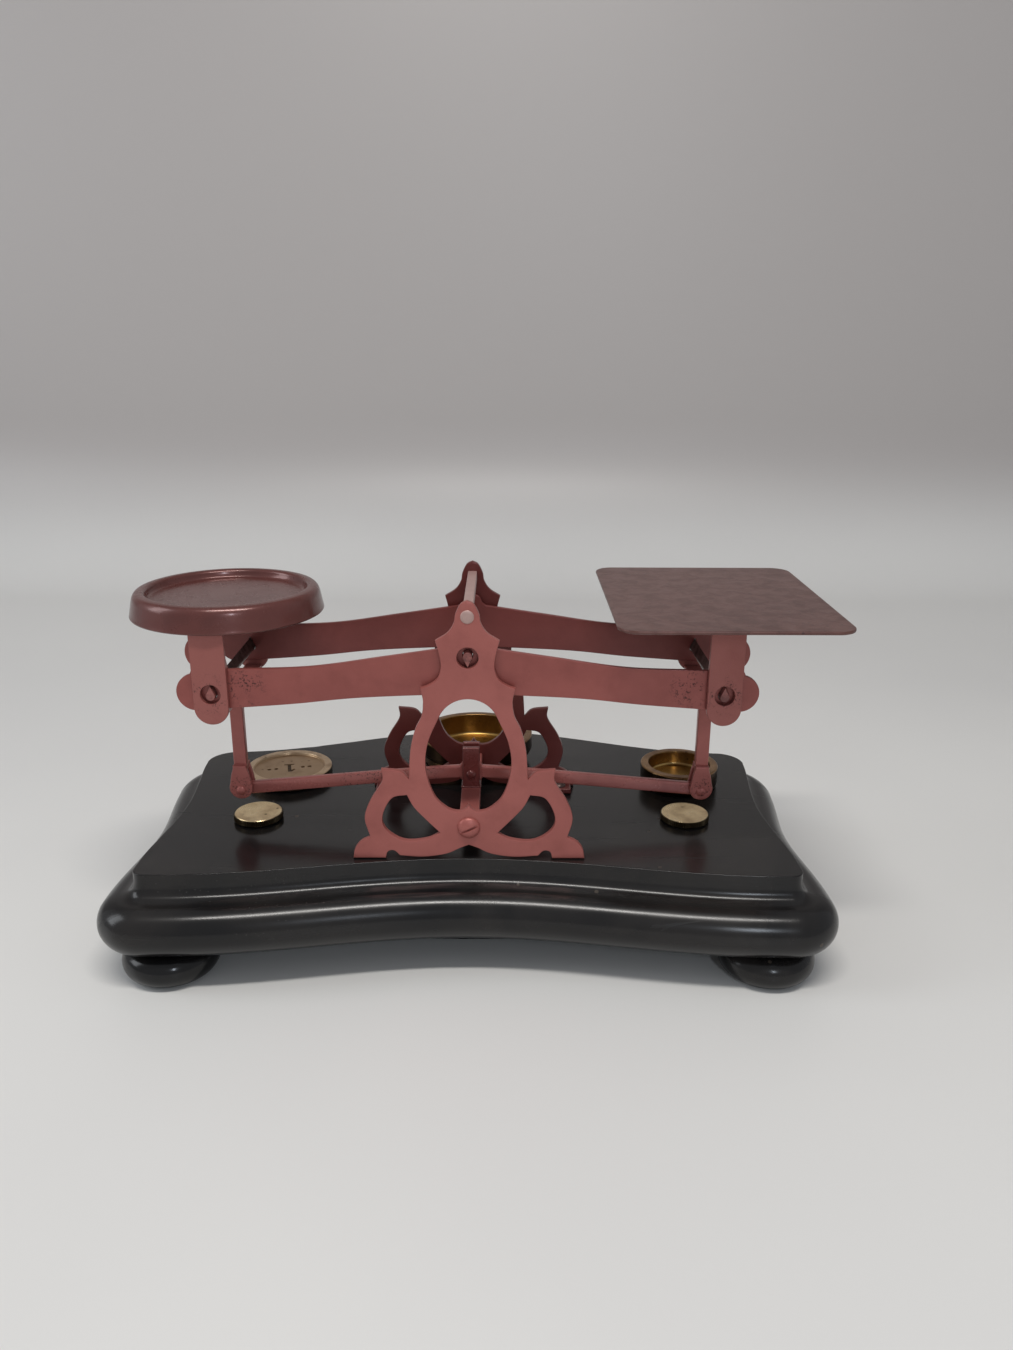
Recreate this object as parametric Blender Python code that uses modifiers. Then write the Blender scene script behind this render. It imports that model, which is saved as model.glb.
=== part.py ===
"""A Roberval letter scale on a moulded black board, with a loose set of weights.

Two pierced sheet frames stand on the board. A beam of two sheet plates rocks on a knife bar
in the frames' upper holes, and its end knife bars each carry a stirrup with a pan. A stem
hangs from each stirrup, and the stay joins the stems below, so that the pans stay level.
Metres, +Z up, +X to the letter plate, +Y to the back. The origin is on the table under the
middle of the board.
"""
import math

import bmesh
import bpy
from mathutils import Matrix, Vector

MM = 0.001

# Fits.
SEAT_GAP = 0.3 * MM          # between pieces that rest on or hold each other
RUN_GAP = 0.4 * MM           # between pieces that move past each other

# Board and feet.
BOARD_HALF_LENGTH = 115.5 * MM  # of the flat top, at the corners
BOARD_HALF_DEPTH = 68 * MM    # from the front corners to the top of the back bow
BOARD_THICKNESS = 27.5 * MM
FRONT_HOLLOW = 12 * MM
BACK_BOW = 26 * MM
SIDE_HOLLOW = 4 * MM
FRONT_CORNER_RADIUS = 4.5 * MM
BACK_CORNER_RADIUS = 11 * MM
LIP = 1.5 * MM
BEAD_RADIUS = 4.5 * MM
BEAD_DROP = 11 * MM           # the bead's middle below the top
BEAD_OUT = 1.7 * MM
BULLNOSE_RADIUS = 8 * MM
MOULDING_WIDTH = 13.5 * MM
FOOT_HEIGHT = 12 * MM
FOOT_RADIUS = 17 * MM
FOOT_INSET = 10 * MM
FOOT_DOWEL_RADIUS = 4 * MM
FOOT_DOWEL_HEIGHT = 7 * MM

# Stand.
MECHANISM_Y = -24 * MM       # mid-plane of the mechanism
FRAME_SHEET = 2.2 * MM
FRAME_CLEAR = 59.8 * MM      # between the frames' inner faces
FRAME_FOOT_X = 34.6 * MM     # foot tabs from the middle
PIVOT_HEIGHT = 73.6 * MM     # centre of the frames' bearing holes above the board
BEARING_RADIUS = 3.6 * MM
SPACER_HEIGHT = 14 * MM      # above the bearing holes
SPACER_WIDTH = 3.4 * MM
SPACER_TENON_RADIUS = 1.2 * MM
RIVET_HEAD_RADIUS = 2.35 * MM
RIVET_HEAD = 0.8 * MM
CROSS_BAR_HEIGHT = 11.9 * MM
CROSS_BAR_WIDTH = 7 * MM
CROSS_BAR_DEPTH = 5 * MM
SCREW_HEAD_RADIUS = 4 * MM
SCREW_HEAD = 1.7 * MM
SCREW_RADIUS = 1.3 * MM
SCREW_LENGTH = 9 * MM
FOOT_TAB = 8 * MM
TAB_WIDTH = 9 * MM
TAB_SCREW_HEAD_RADIUS = 2.5 * MM
POST_WIDTH = 6.3 * MM
POST_TOP = 10.6 * MM         # above the stay's pivot
PRONG = 2.0 * MM
POST_BASE = 1.7 * MM

# Beam.
ARM = 86 * MM
BEAM_SHEET = 1.8 * MM
BEAM_TO_FRAME = 1.0 * MM
END_HOLE_DROP = 13.3 * MM    # end holes below the centre ones
KNIFE_RADIUS = 1.55 * MM
KNIFE_HEIGHT = 5.2 * MM
LOBE_RADIUS = 6.5 * MM
LOBE_OUT = 5.6 * MM
UPPER_LOBE_OUT = 1.5 * MM
UPPER_LOBE_RISE = 14 * MM

# Carriers.
STIRRUP_SHEET = 1.8 * MM
STIRRUP_WIDTH = 11.6 * MM
STIRRUP_HOLE_RADIUS = 3.35 * MM
STIRRUP_TO_BEAM = 0.7 * MM
LEG_BELOW_HOLE = 10.7 * MM
CROWN_HEIGHT = 25.4 * MM     # top of the crown above the end holes
CROWN_BEND = 3.2 * MM
BRIDGE_WIDTH = 6.4 * MM
BRIDGE_SHEET = 1.8 * MM
STEM_WIDTH = 4.8 * MM
STEM_DEPTH = 3.2 * MM
STEM_TENON = 2.2 * MM
FORK_RADIUS = 4.3 * MM
FORK_RISE = 0.9 * MM         # centre of the ears' round above the pin
EAR = 1.6 * MM
FORK_PIN_HEIGHT = 12.6 * MM  # above the board
PIN_RADIUS = 1.2 * MM
PIN_HEAD_RADIUS = 1.75 * MM
PIN_HEAD = 0.6 * MM

# Stay.
STAY_SHEET = 2.5 * MM
STAY_HEIGHT = 4.8 * MM
STAY_BOSS_RADIUS = 4.9 * MM
STAY_END_RADIUS = 2.9 * MM

# Pans.
PAN_RADIUS = 33.6 * MM
PAN_SHEET = 1.1 * MM
PAN_SKIRT = 8.8 * MM
PAN_RECESS_RADIUS = 27.2 * MM
PAN_RECESS = 3.0 * MM
PLATE_LENGTH = 76 * MM
PLATE_DEPTH = 94 * MM
PLATE_SHEET = 1.2 * MM
PLATE_CORNER = 7 * MM

# Weights: radius and height of each, and where it stands from the mechanism's middle.
LARGE_CUP_RADIUS = 24.3 * MM
LARGE_CUP_HEIGHT = 12 * MM
LARGE_CUP_WALL = 3.2 * MM
LARGE_CUP_STEP = 3.6 * MM
LARGE_CUP_FLOOR = 2.4 * MM
LARGE_CUP_PLACE = (0.0, 60 * MM)
SMALL_CUP_RADIUS = 15.6 * MM
SMALL_CUP_HEIGHT = 8.6 * MM
SMALL_CUP_WALL = 3.2 * MM
SMALL_CUP_FLOOR = 2.6 * MM
SMALL_CUP_PLACE = (84 * MM, 34 * MM)
DISC_RADIUS = 17.6 * MM
DISC_HEIGHT = 4.2 * MM
DISC_RIM = 3.2 * MM
DISC_RECESS = 1.0 * MM
DISC_PLACE = (-77 * MM, 40 * MM)
COIN_RADIUS = 9.2 * MM
COIN_HEIGHT = 2.6 * MM
COIN_X = 81 * MM
COIN_TEETH = 36
COIN_TOOTH = 0.25 * MM

# What follows from the sizes above.
BOARD_BOTTOM = FOOT_HEIGHT + SEAT_GAP
BOARD_TOP = BOARD_BOTTOM + BOARD_THICKNESS
STAND_Z = BOARD_TOP + SEAT_GAP
FRONT_CORNER_Y = -BOARD_HALF_DEPTH
BACK_CORNER_Y = BOARD_HALF_DEPTH - BACK_BOW
FRAME_INNER = FRAME_CLEAR / 2
FRAME_OUTER = FRAME_INNER + FRAME_SHEET
HOLE_Z = STAND_Z + PIVOT_HEIGHT
END_HOLE_Z = HOLE_Z - END_HOLE_DROP
BEAM_OUTER = FRAME_INNER - BEAM_TO_FRAME
LEG_INNER = BEAM_OUTER + STIRRUP_TO_BEAM
LEG_OUTER = LEG_INNER + STIRRUP_SHEET
CENTRE_EDGE_Z = HOLE_Z - BEARING_RADIUS + SEAT_GAP
END_EDGE_Z = END_HOLE_Z + STIRRUP_HOLE_RADIUS - SEAT_GAP
FORK_PIN_Z = STAND_Z + FORK_PIN_HEIGHT
STAY_PIN_Z = FORK_PIN_Z + CENTRE_EDGE_Z - END_EDGE_Z
CROSS_BAR_Z = STAND_Z + CROSS_BAR_HEIGHT
CROSS_BAR_TOP = CROSS_BAR_Z + CROSS_BAR_DEPTH / 2
CROWN_TOP = END_HOLE_Z + CROWN_HEIGHT
LEG_BOTTOM = END_HOLE_Z - LEG_BELOW_HOLE
BRIDGE_Z = LEG_BOTTOM + BRIDGE_SHEET + 0.6 * MM
SLOT_HALF = STAY_SHEET / 2 + RUN_GAP
PAN_Z = CROWN_TOP + SEAT_GAP
CENTRE = Vector((0.0, MECHANISM_Y, CENTRE_EDGE_Z))

COPPER = ("copper_rose_paint", (0.30, 0.115, 0.10, 1.0), 0.38, 0.35)
BEAM_PAINT = ("beam_paint", (0.26, 0.09, 0.08, 1.0), 0.4, 0.35)
LACQUER = ("black_lacquered_wood", (0.012, 0.012, 0.013, 1.0), 0.16, 0.0)
STEEL = ("dark_steel", (0.06, 0.045, 0.045, 1.0), 0.35, 0.9)
BRASS = ("brass", (0.55, 0.40, 0.19, 1.0), 0.35, 1.0)
PALE_BRASS = ("pale_brass", (0.66, 0.54, 0.30, 1.0), 0.4, 1.0)


def clear_scene():
    for thing in list(bpy.data.objects):
        bpy.data.objects.remove(thing, do_unlink=True)


def new_collection(name):
    found = bpy.data.collections.new(name)
    bpy.context.scene.collection.children.link(found)
    return found


def paint(thing, finish):
    """Give a piece its own material of the named finish."""
    finish_name, colour, roughness, metallic = finish
    made = bpy.data.materials.new(f"{thing.name}_{finish_name}")
    made.use_nodes = True
    shader = made.node_tree.nodes["Principled BSDF"]
    shader.inputs["Base Color"].default_value = colour
    shader.inputs["Roughness"].default_value = roughness
    shader.inputs["Metallic"].default_value = metallic
    made.diffuse_color = colour
    thing.data.materials.clear()
    thing.data.materials.append(made)


def world_place(empty):
    place = Vector(empty.location)
    while empty.parent:
        empty = empty.parent
        place += empty.location
    return place


def put(thing, place, parent=None):
    """Set a thing's origin at a world place, below its parent empty."""
    thing.parent = parent
    thing.location = Vector(place) - (world_place(parent) if parent else Vector())


def pivot(name, place, parent=None):
    empty = bpy.data.objects.new(name, None)
    empty.empty_display_size = 0.01
    PIECES.objects.link(empty)
    put(empty, place, parent)
    return empty


def add_mesh(name, bm, finish, place, parent=None, collection=None):
    """Make an object of a bmesh whose points are measured from the place."""
    mesh = bpy.data.meshes.new(name)
    bm.to_mesh(mesh)
    bm.free()
    thing = bpy.data.objects.new(name, mesh)
    (collection or PIECES).objects.link(thing)
    put(thing, place, parent)
    if finish:
        paint(thing, finish)
        mesh.shade_smooth()
        mesh.set_sharp_from_angle(angle=math.radians(35))
    return thing


def arc(centre, radius, start, end, steps):
    """Points on an arc, by its angles in degrees."""
    points = []
    for step in range(steps + 1):
        angle = math.radians(start + (end - start) * step / steps)
        points.append((centre[0] + radius * math.cos(angle), centre[1] + radius * math.sin(angle)))
    return points


def smooth(points, steps=4):
    """A curve through a few points, as a Catmull-Rom spline with free ends."""
    first = tuple(2 * a - b for a, b in zip(points[0], points[1]))
    last = tuple(2 * a - b for a, b in zip(points[-1], points[-2]))
    knots = [first] + list(points) + [last]
    curve = []
    for before, start, end, after in zip(knots, knots[1:], knots[2:], knots[3:]):
        for step in range(steps):
            t = step / steps
            curve.append(tuple(
                0.5 * (2 * b + (c - a) * t + (2 * a - 5 * b + 4 * c - d) * t * t
                       + (3 * b - a - 3 * c + d) * t ** 3)
                for a, b, c, d in zip(before, start, end, after)))
    curve.append(tuple(points[-1]))
    return curve


def chain(*runs):
    """Join runs of points end to end, without the doubled points."""
    points = []
    for run in runs:
        for point in run:
            if not points or math.dist(points[-1], point) > 0.02 * MM:
                points.append(point)
    if math.dist(points[0], points[-1]) < 0.02 * MM:
        points.pop()
    return points


def mirrored(half):
    """Close a half outline, drawn from its top to its bottom at X >= 0, with its mirror image."""
    return chain(half, [(-x, z) for x, z in reversed(half)])


def circle(centre, radius, steps=20):
    return arc(centre, radius, 0, 360 - 360 / steps, steps - 1)


def teardrop(radius, height, apex_up, grow=0.0):
    """A knife's section, its edge at the origin: a round back that two flats run out from."""
    centre = height - radius
    half_angle = math.asin(radius / centre)
    edge = grow / math.sin(half_angle)
    tilt = math.degrees(half_angle)
    back = arc((0.0, -centre), radius + grow, tilt, -180 - tilt, 10)
    points = [(0.0, edge)] + back
    return points if apex_up else [(x, -z) for x, z in points]


ALONG_Y = Matrix(((1, 0, 0, 0), (0, 0, -1, 0), (0, 1, 0, 0), (0, 0, 0, 1)))
ALONG_X = Matrix(((0, 0, 1, 0), (1, 0, 0, 0), (0, 1, 0, 0), (0, 0, 0, 1)))
ALONG_Z = Matrix.Identity(4)


def slab_bmesh(loops, thickness, turn=ALONG_Y, shift=(0, 0, 0)):
    """A flat outline with its openings, filled and thickened, as a welded mesh."""
    curve = bpy.data.curves.new("outline", "CURVE")
    curve.dimensions = "2D"
    curve.fill_mode = "BOTH"
    curve.extrude = thickness / 2
    for loop in loops:
        spline = curve.splines.new("POLY")
        spline.points.add(len(loop) - 1)
        for point, (a, b) in zip(spline.points, loop):
            point.co = (a, b, 0.0, 1.0)
        spline.use_cyclic_u = True
    guide = bpy.data.objects.new("outline", curve)
    PIECES.objects.link(guide)
    depsgraph = bpy.context.evaluated_depsgraph_get()
    mesh = bpy.data.meshes.new_from_object(guide.evaluated_get(depsgraph))
    bpy.data.objects.remove(guide, do_unlink=True)
    bm = bmesh.new()
    bm.from_mesh(mesh)
    bmesh.ops.remove_doubles(bm, verts=bm.verts, dist=0.002 * MM)
    bmesh.ops.transform(bm, matrix=Matrix.Translation(shift) @ turn, verts=bm.verts)
    bmesh.ops.recalc_face_normals(bm, faces=bm.faces)
    return bm


def slab(name, loops, thickness, finish, place, parent=None, turn=ALONG_Y):
    return add_mesh(name, slab_bmesh(loops, thickness, turn), finish, place, parent)


def cutter(name, bm, place, parent=None):
    thing = add_mesh(name, bm, None, place, parent, CUTTERS)
    thing.hide_render = True
    thing.display_type = "WIRE"
    return thing


def boolean(thing, tool, operation="DIFFERENCE"):
    step = thing.modifiers.new(operation.lower(), "BOOLEAN")
    step.operation = operation
    step.object = tool
    step.solver = "EXACT"


def cylinders(rods, segments=16):
    """Separate rods in one mesh: each has its middle, radius, length and axis."""
    bm = bmesh.new()
    for middle, radius, length, axis in rods:
        turn = {"X": Matrix.Rotation(math.pi / 2, 4, "Y"), "Y": Matrix.Rotation(math.pi / 2, 4, "X"),
                "Z": Matrix.Identity(4)}[axis]
        bmesh.ops.create_cone(bm, cap_ends=True, segments=segments, radius1=radius, radius2=radius,
                              depth=length, matrix=Matrix.Translation(middle) @ turn)
    return bm


def boxes(blocks):
    """Separate boxes in one mesh: each has its two far corners."""
    bm = bmesh.new()
    for low, high in blocks:
        low, high = Vector(low), Vector(high)
        size = Matrix.Diagonal((*(high - low), 1.0))
        bmesh.ops.create_cube(bm, size=1.0, matrix=Matrix.Translation((low + high) / 2) @ size)
    return bm


def turned(name, profile, finish, place, parent=None, steps=32, turn=None):
    """A turned piece: its profile runs from the top of the axis, down the outside."""
    mesh = bpy.data.meshes.new(name)
    mesh.from_pydata([(radius, 0.0, height) for radius, height in profile],
                     [(i, i + 1) for i in range(len(profile) - 1)], [])
    thing = bpy.data.objects.new(name, mesh)
    PIECES.objects.link(thing)
    put(thing, place, parent)
    if turn:
        thing.rotation_euler = turn
    screw = thing.modifiers.new("turn", "SCREW")
    screw.steps = steps
    screw.render_steps = steps
    screw.use_merge_vertices = True
    screw.merge_threshold = 0.00001
    screw.use_smooth_shade = True
    paint(thing, finish)
    return thing


def raised_cosine(offset, half_width):
    """1 in the middle, falling to 0 at the half-width and staying there."""
    return 0.5 * (1 + math.cos(math.pi * min(abs(offset) / half_width, 1.0)))


def board_plan():
    """The flat top's outline: a hollow front, hollow sides and a bowed back."""
    length, front, back = BOARD_HALF_LENGTH, FRONT_CORNER_Y, BACK_CORNER_Y
    near, far = FRONT_CORNER_RADIUS, BACK_CORNER_RADIUS
    middle, half_side = (front + back) / 2, (back - front) / 2
    wave, side_wave = 0.94 * length, 0.89 * half_side
    front_x = length - near
    back_x = length - far
    points = []
    for step in range(17):
        x = -front_x + 2 * front_x * step / 16
        points.append((x, front + FRONT_HOLLOW * raised_cosine(x, wave)))
    points += arc((front_x, front + near), near, -90, 0, 4)
    low, high = front + near, back - far
    side = []
    for step in range(7):
        y = low + (high - low) * step / 6
        side.append((length - SIDE_HOLLOW * raised_cosine(y - middle, side_wave), y))
    points += side
    points += arc((back_x, back - far), far, 0, 90, 4)
    for step in range(19):
        x = back_x - 2 * back_x * step / 18
        points.append((x, back + BACK_BOW * raised_cosine(x, wave)))
    points += arc((-back_x, back - far), far, 90, 180, 4)
    points += [(-x, y) for x, y in reversed(side)]
    points += arc((-front_x, front + near), near, 180, 270, 4)
    return chain(points)


def board_profile():
    """The moulded edge, as how far it stands out and how far it is below the top."""
    bead, bull = BEAD_RADIUS, BULLNOSE_RADIUS
    bull_drop = BOARD_THICKNESS - bull
    bull_out = MOULDING_WIDTH - bull
    swell = arc((BEAD_OUT, -BEAD_DROP), bead, 78, 12, 4)
    out, drop = swell[0]
    steps = [(0.0, 0.0)] + smooth([(0.0, -LIP), (0.1 * out, 0.5 * (drop - LIP)),
                                   (0.35 * out, 0.88 * drop), (out, drop)], 2) + swell[1:]
    steps += arc((bull_out, -bull_drop), bull, 74, -84, 7)
    steps += [(bull_out - 3 * MM, -BOARD_THICKNESS)]
    return steps


def board_mesh(plan, profile):
    """The board is its plan's outline, set out or in for each step down the moulding."""
    count = len(plan)
    normals = []
    for i in range(count):
        (ax, ay), (bx, by) = plan[i - 1], plan[(i + 1) % count]
        normals.append(Vector((by - ay, ax - bx)).normalized())
    bm = bmesh.new()
    rings = []
    for out, drop in profile:
        rings.append([bm.verts.new((x + n.x * out, y + n.y * out, drop))
                      for (x, y), n in zip(plan, normals)])
    bm.faces.new(rings[0])
    bm.faces.new(reversed(rings[-1]))
    for upper, lower in zip(rings, rings[1:]):
        for i in range(count):
            j = (i + 1) % count
            bm.faces.new((upper[i], lower[i], lower[j], upper[j]))
    bmesh.ops.recalc_face_normals(bm, faces=bm.faces)
    return bm


def corner_places(inset):
    """The four places a given distance in from the flat top's corners."""
    places = {}
    for side, sx in (("left", -1), ("right", 1)):
        x = sx * (BOARD_HALF_LENGTH - inset)
        places[f"front_{side}"] = (x, FRONT_CORNER_Y + inset * 0.55)
        places[f"back_{side}"] = (x, BACK_CORNER_Y - inset * 0.5)
    return places


def tab_screw_places():
    places = {}
    for side, sx in (("left", -1), ("right", 1)):
        for row, sy in (("front", -1), ("rear", 1)):
            y = MECHANISM_Y + sy * (FRAME_INNER - FOOT_TAB * 0.55)
            places[f"{row}_{side}"] = (sx * FRAME_FOOT_X, y)
    return places


def make_board():
    board = add_mesh("base_board", board_mesh(board_plan(), board_profile()), LACQUER,
                     (0, 0, BOARD_TOP))
    rods = []
    for x, y in corner_places(FOOT_INSET).values():
        depth = FOOT_DOWEL_HEIGHT + 2 * SEAT_GAP
        middle = (x, y, -BOARD_THICKNESS + depth / 2 - 1 * MM)
        rods.append((middle, FOOT_DOWEL_RADIUS + SEAT_GAP, depth + 2 * MM, "Z"))
    for x, y in tab_screw_places().values():
        depth = SCREW_LENGTH + 1 * MM
        rods.append(((x, y, 1 * MM - depth / 2), SCREW_RADIUS + SEAT_GAP, depth + 2 * MM, "Z"))
    boolean(board, cutter("board_holes", cylinders(rods), (0, 0, BOARD_TOP)))


def make_feet():
    belly = FOOT_HEIGHT * 0.5
    dowel_top = FOOT_HEIGHT + FOOT_DOWEL_HEIGHT
    profile = [(0, dowel_top), (FOOT_DOWEL_RADIUS, dowel_top), (FOOT_DOWEL_RADIUS, FOOT_HEIGHT)]
    for angle in (70, 38, 8, -24, -56):
        a = math.radians(angle)
        profile.append((FOOT_RADIUS - belly + belly * math.cos(a), belly + belly * math.sin(a)))
    profile += [(FOOT_RADIUS - belly, 0), (0, 0)]
    for name, (x, y) in corner_places(FOOT_INSET).items():
        turned(f"bun_foot_{name}", profile, LACQUER, (x, y, 0), steps=20)


def at_height(points):
    """Frame points are drawn for a bearing 73.6 mm up, and follow it when it moves."""
    stretch = PIVOT_HEIGHT / (73.6 * MM)
    return [(x * MM, z * MM * stretch) for x, z in points]



def frame_outline():
    finial = [(0, 93), (2.2, 91.8), (3.9, 88.4), (4.5, 85.3), (6.6, 82.1), (10.6, 79.5)]
    neck = [(10.6, 79.5), (9.5, 75.1), (8.9, 70.6), (10.2, 66.3), (13.2, 64.0), (15.9, 63.0)]
    flank = [(15.9, 63.0), (15.0, 58.2), (15.7, 52.9), (17.9, 48.2), (19.7, 40.5), (20.4, 30.2)]
    scroll = [(20.4, 30.2), (23.4, 33.0), (29.8, 33.8)]
    shoulder = [(29.8, 33.8), (29.7, 29.2), (34.0, 21.9), (36.1, 15.4), (34.4, 8.2)]
    foot = [(34.4, 8.2), (37.7, 6.4), (39.9, 3.6), (40.6, 0)]
    notch = [(29.2, 0), (28.4, 2.5), (26.2, 2.9), (24.2, 1.0)]
    bow = [(24.2, 1.0), (16.0, 0.5), (8.0, 1.7), (3.0, 4.0), (0, 5.2)]
    runs = (finial, neck, flank, scroll, shoulder, foot, notch, bow)
    return mirrored(chain(*[smooth(at_height(run), 3) for run in runs]))


def oval_outline():
    """Round-headed, and brought to a small cusp at the bottom."""
    head = arc((0, 48.6), 10.6, 90, 24, 4)
    side = [head[-1], (13.6, 43.5), (14.6, 34.0), (11.9, 24.2), (7.6, 19.4), (3.6, 18.0),
            (1.2, 18.9), (0, 20.6)]
    return mirrored(at_height(head[:-1]) + smooth(at_height(side), 4))


def window_outline():
    """The tear-shaped opening in the right scroll."""
    inner = smooth(at_height([(10.0, 9.8), (14.8, 14.8), (18.9, 19.5), (21.3, 24.2)]), 3)
    outer = smooth(at_height([(21.3, 24.2), (26.6, 22.8), (29.9, 16.0), (28.6, 10.8), (22.6, 6.9),
                              (14.8, 7.4), (10.0, 9.8)]), 4)
    return chain(inner, outer)


def make_frames():
    window = window_outline()
    for name, sy in (("front_frame", -1), ("rear_frame", 1)):
        loops = [frame_outline(), oval_outline(), window, [(-x, z) for x, z in reversed(window)],
                 circle((0, PIVOT_HEIGHT), BEARING_RADIUS),
                 circle((0, PIVOT_HEIGHT + SPACER_HEIGHT), SPACER_TENON_RADIUS + SEAT_GAP, 12),
                 circle((0, CROSS_BAR_HEIGHT), SCREW_RADIUS + SEAT_GAP, 12)]
        middle = MECHANISM_Y + sy * (FRAME_INNER + FRAME_SHEET / 2)
        frame = slab(name, loops, FRAME_SHEET, COPPER, (0, middle, STAND_Z))
        inward = -sy * (FRAME_SHEET / 2 + FOOT_TAB)
        overlap = -sy * 0.4 * FRAME_SHEET
        blocks = []
        for x in (-FRAME_FOOT_X, FRAME_FOOT_X):
            ends = sorted((overlap, inward))
            half = TAB_WIDTH / 2
            blocks.append(((x - half, ends[0], 0), (x + half, ends[1], FRAME_SHEET)))
        boolean(frame, cutter(f"{name}_tabs", boxes(blocks), (0, middle, STAND_Z)), "UNION")
        rods = []
        for key, (x, y) in tab_screw_places().items():
            if key.startswith(name.split("_")[0]):
                rods.append(((x, y, STAND_Z), SCREW_RADIUS + SEAT_GAP, 4 * FRAME_SHEET, "Z"))
        boolean(frame, cutter(f"{name}_tab_holes", cylinders(rods), (0, 0, 0)))


def screw_profile(head_radius, head, radius, length):
    """A round-head screw, its seat at height 0 and its shank below."""
    dome = [(head_radius * math.sin(math.radians(a)), head * math.cos(math.radians(a)))
            for a in (0, 30, 60)]
    return dome + [(head_radius, 0), (radius, 0), (radius, -length), (0, -length)]


def make_screw(name, head_radius, head, length, place, turn=None):
    screw = turned(name, screw_profile(head_radius, head, SCREW_RADIUS, length), STEEL, place,
                   steps=16, turn=turn)
    slot = cutter(f"{name}_slot", boxes([((-2 * head_radius, -0.4 * MM, head * 0.45),
                                          (2 * head_radius, 0.4 * MM, head * 2))]), place)
    if turn:
        slot.rotation_euler = turn
    boolean(screw, slot)
    return screw


def make_stand_screws():
    seat = FRAME_OUTER + SEAT_GAP
    length = FRAME_SHEET + SCREW_LENGTH
    for name, sy in (("front", -1), ("rear", 1)):
        turn = (-sy * math.pi / 2, 0, 0)
        screw = make_screw(f"cross_bar_screw_{name}", SCREW_HEAD_RADIUS, SCREW_HEAD, length,
                           (0, MECHANISM_Y + sy * seat, CROSS_BAR_Z), turn)
        paint(screw, COPPER)
    for name, (x, y) in tab_screw_places().items():
        make_screw(f"frame_foot_screw_{name}", TAB_SCREW_HEAD_RADIUS, 1.2 * MM, SCREW_LENGTH,
                   (x, y, STAND_Z + FRAME_SHEET + SEAT_GAP))


def make_spacer():
    """A square bar between the finials, with a peened tenon through each."""
    half = FRAME_INNER - SEAT_GAP
    width = SPACER_WIDTH / 2
    bar = add_mesh("top_spacer", boxes([((-width, -half, -width), (width, half, width))]), COPPER,
                   (0, MECHANISM_Y, HOLE_Z + SPACER_HEIGHT))
    head = FRAME_OUTER + SEAT_GAP + RIVET_HEAD / 2
    rods = cylinders([((0, 0, 0), SPACER_TENON_RADIUS, 2 * head, "Y")], 12)
    heads = cylinders([((0, sy * head, 0), RIVET_HEAD_RADIUS, RIVET_HEAD, "Y") for sy in (-1, 1)], 16)
    place = (0, MECHANISM_Y, HOLE_Z + SPACER_HEIGHT)
    boolean(bar, cutter("spacer_tenon", rods, place), "UNION")
    boolean(bar, cutter("spacer_heads", heads, place), "UNION")


def make_cross_bar():
    half = FRAME_INNER - SEAT_GAP
    width, deep = CROSS_BAR_WIDTH / 2, CROSS_BAR_DEPTH / 2
    place = (0, MECHANISM_Y, CROSS_BAR_Z)
    bar = add_mesh("cross_bar", boxes([((-width, -half, -deep), (width, half, deep))]), COPPER, place)
    hole = SCREW_LENGTH + 1 * MM
    rods = [((0, sy * half, 0), SCREW_RADIUS + SEAT_GAP, 2 * hole, "Y") for sy in (-1, 1)]
    boolean(bar, cutter("cross_bar_holes", cylinders(rods), place))
    notch = SLOT_HALF + PRONG + SEAT_GAP
    floor = deep - POST_BASE - SEAT_GAP
    notch_box = boxes([((-2 * width, -notch, floor), (2 * width, notch, 2 * deep))])
    boolean(bar, cutter("cross_bar_notch", notch_box, place))


def make_stay_post():
    """A clevis let into the cross bar: a prong before and behind the stay."""
    outer = SLOT_HALF + PRONG
    floor = CROSS_BAR_TOP - POST_BASE - STAY_PIN_Z
    slot = CROSS_BAR_TOP - STAY_PIN_Z
    outline = [(-outer, floor), (outer, floor), (outer, POST_TOP), (SLOT_HALF, POST_TOP),
               (SLOT_HALF, slot), (-SLOT_HALF, slot), (-SLOT_HALF, POST_TOP), (-outer, POST_TOP)]
    place = (0, MECHANISM_Y, STAY_PIN_Z)
    post = slab("stay_post", [outline], POST_WIDTH, COPPER, place, turn=ALONG_X)
    hole = cylinders([((0, 0, 0), PIN_RADIUS + SEAT_GAP, 4 * outer, "Y")])
    boolean(post, cutter("stay_post_hole", hole, place))
    make_pin("stay_pivot_pin", outer, place, None)


def make_pin(name, grip, place, parent):
    """A pin through a clevis, its two ends peened over the outer faces."""
    end = grip + SEAT_GAP + PIN_HEAD
    seat = grip + SEAT_GAP
    profile = [(0, end), (PIN_HEAD_RADIUS * 0.7, end), (PIN_HEAD_RADIUS, end - 0.4 * PIN_HEAD),
               (PIN_HEAD_RADIUS, seat), (PIN_RADIUS, seat)]
    profile += [(radius, -height) for radius, height in reversed(profile)]
    return turned(name, profile, COPPER, place, parent, steps=14, turn=(math.pi / 2, 0, 0))


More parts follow.
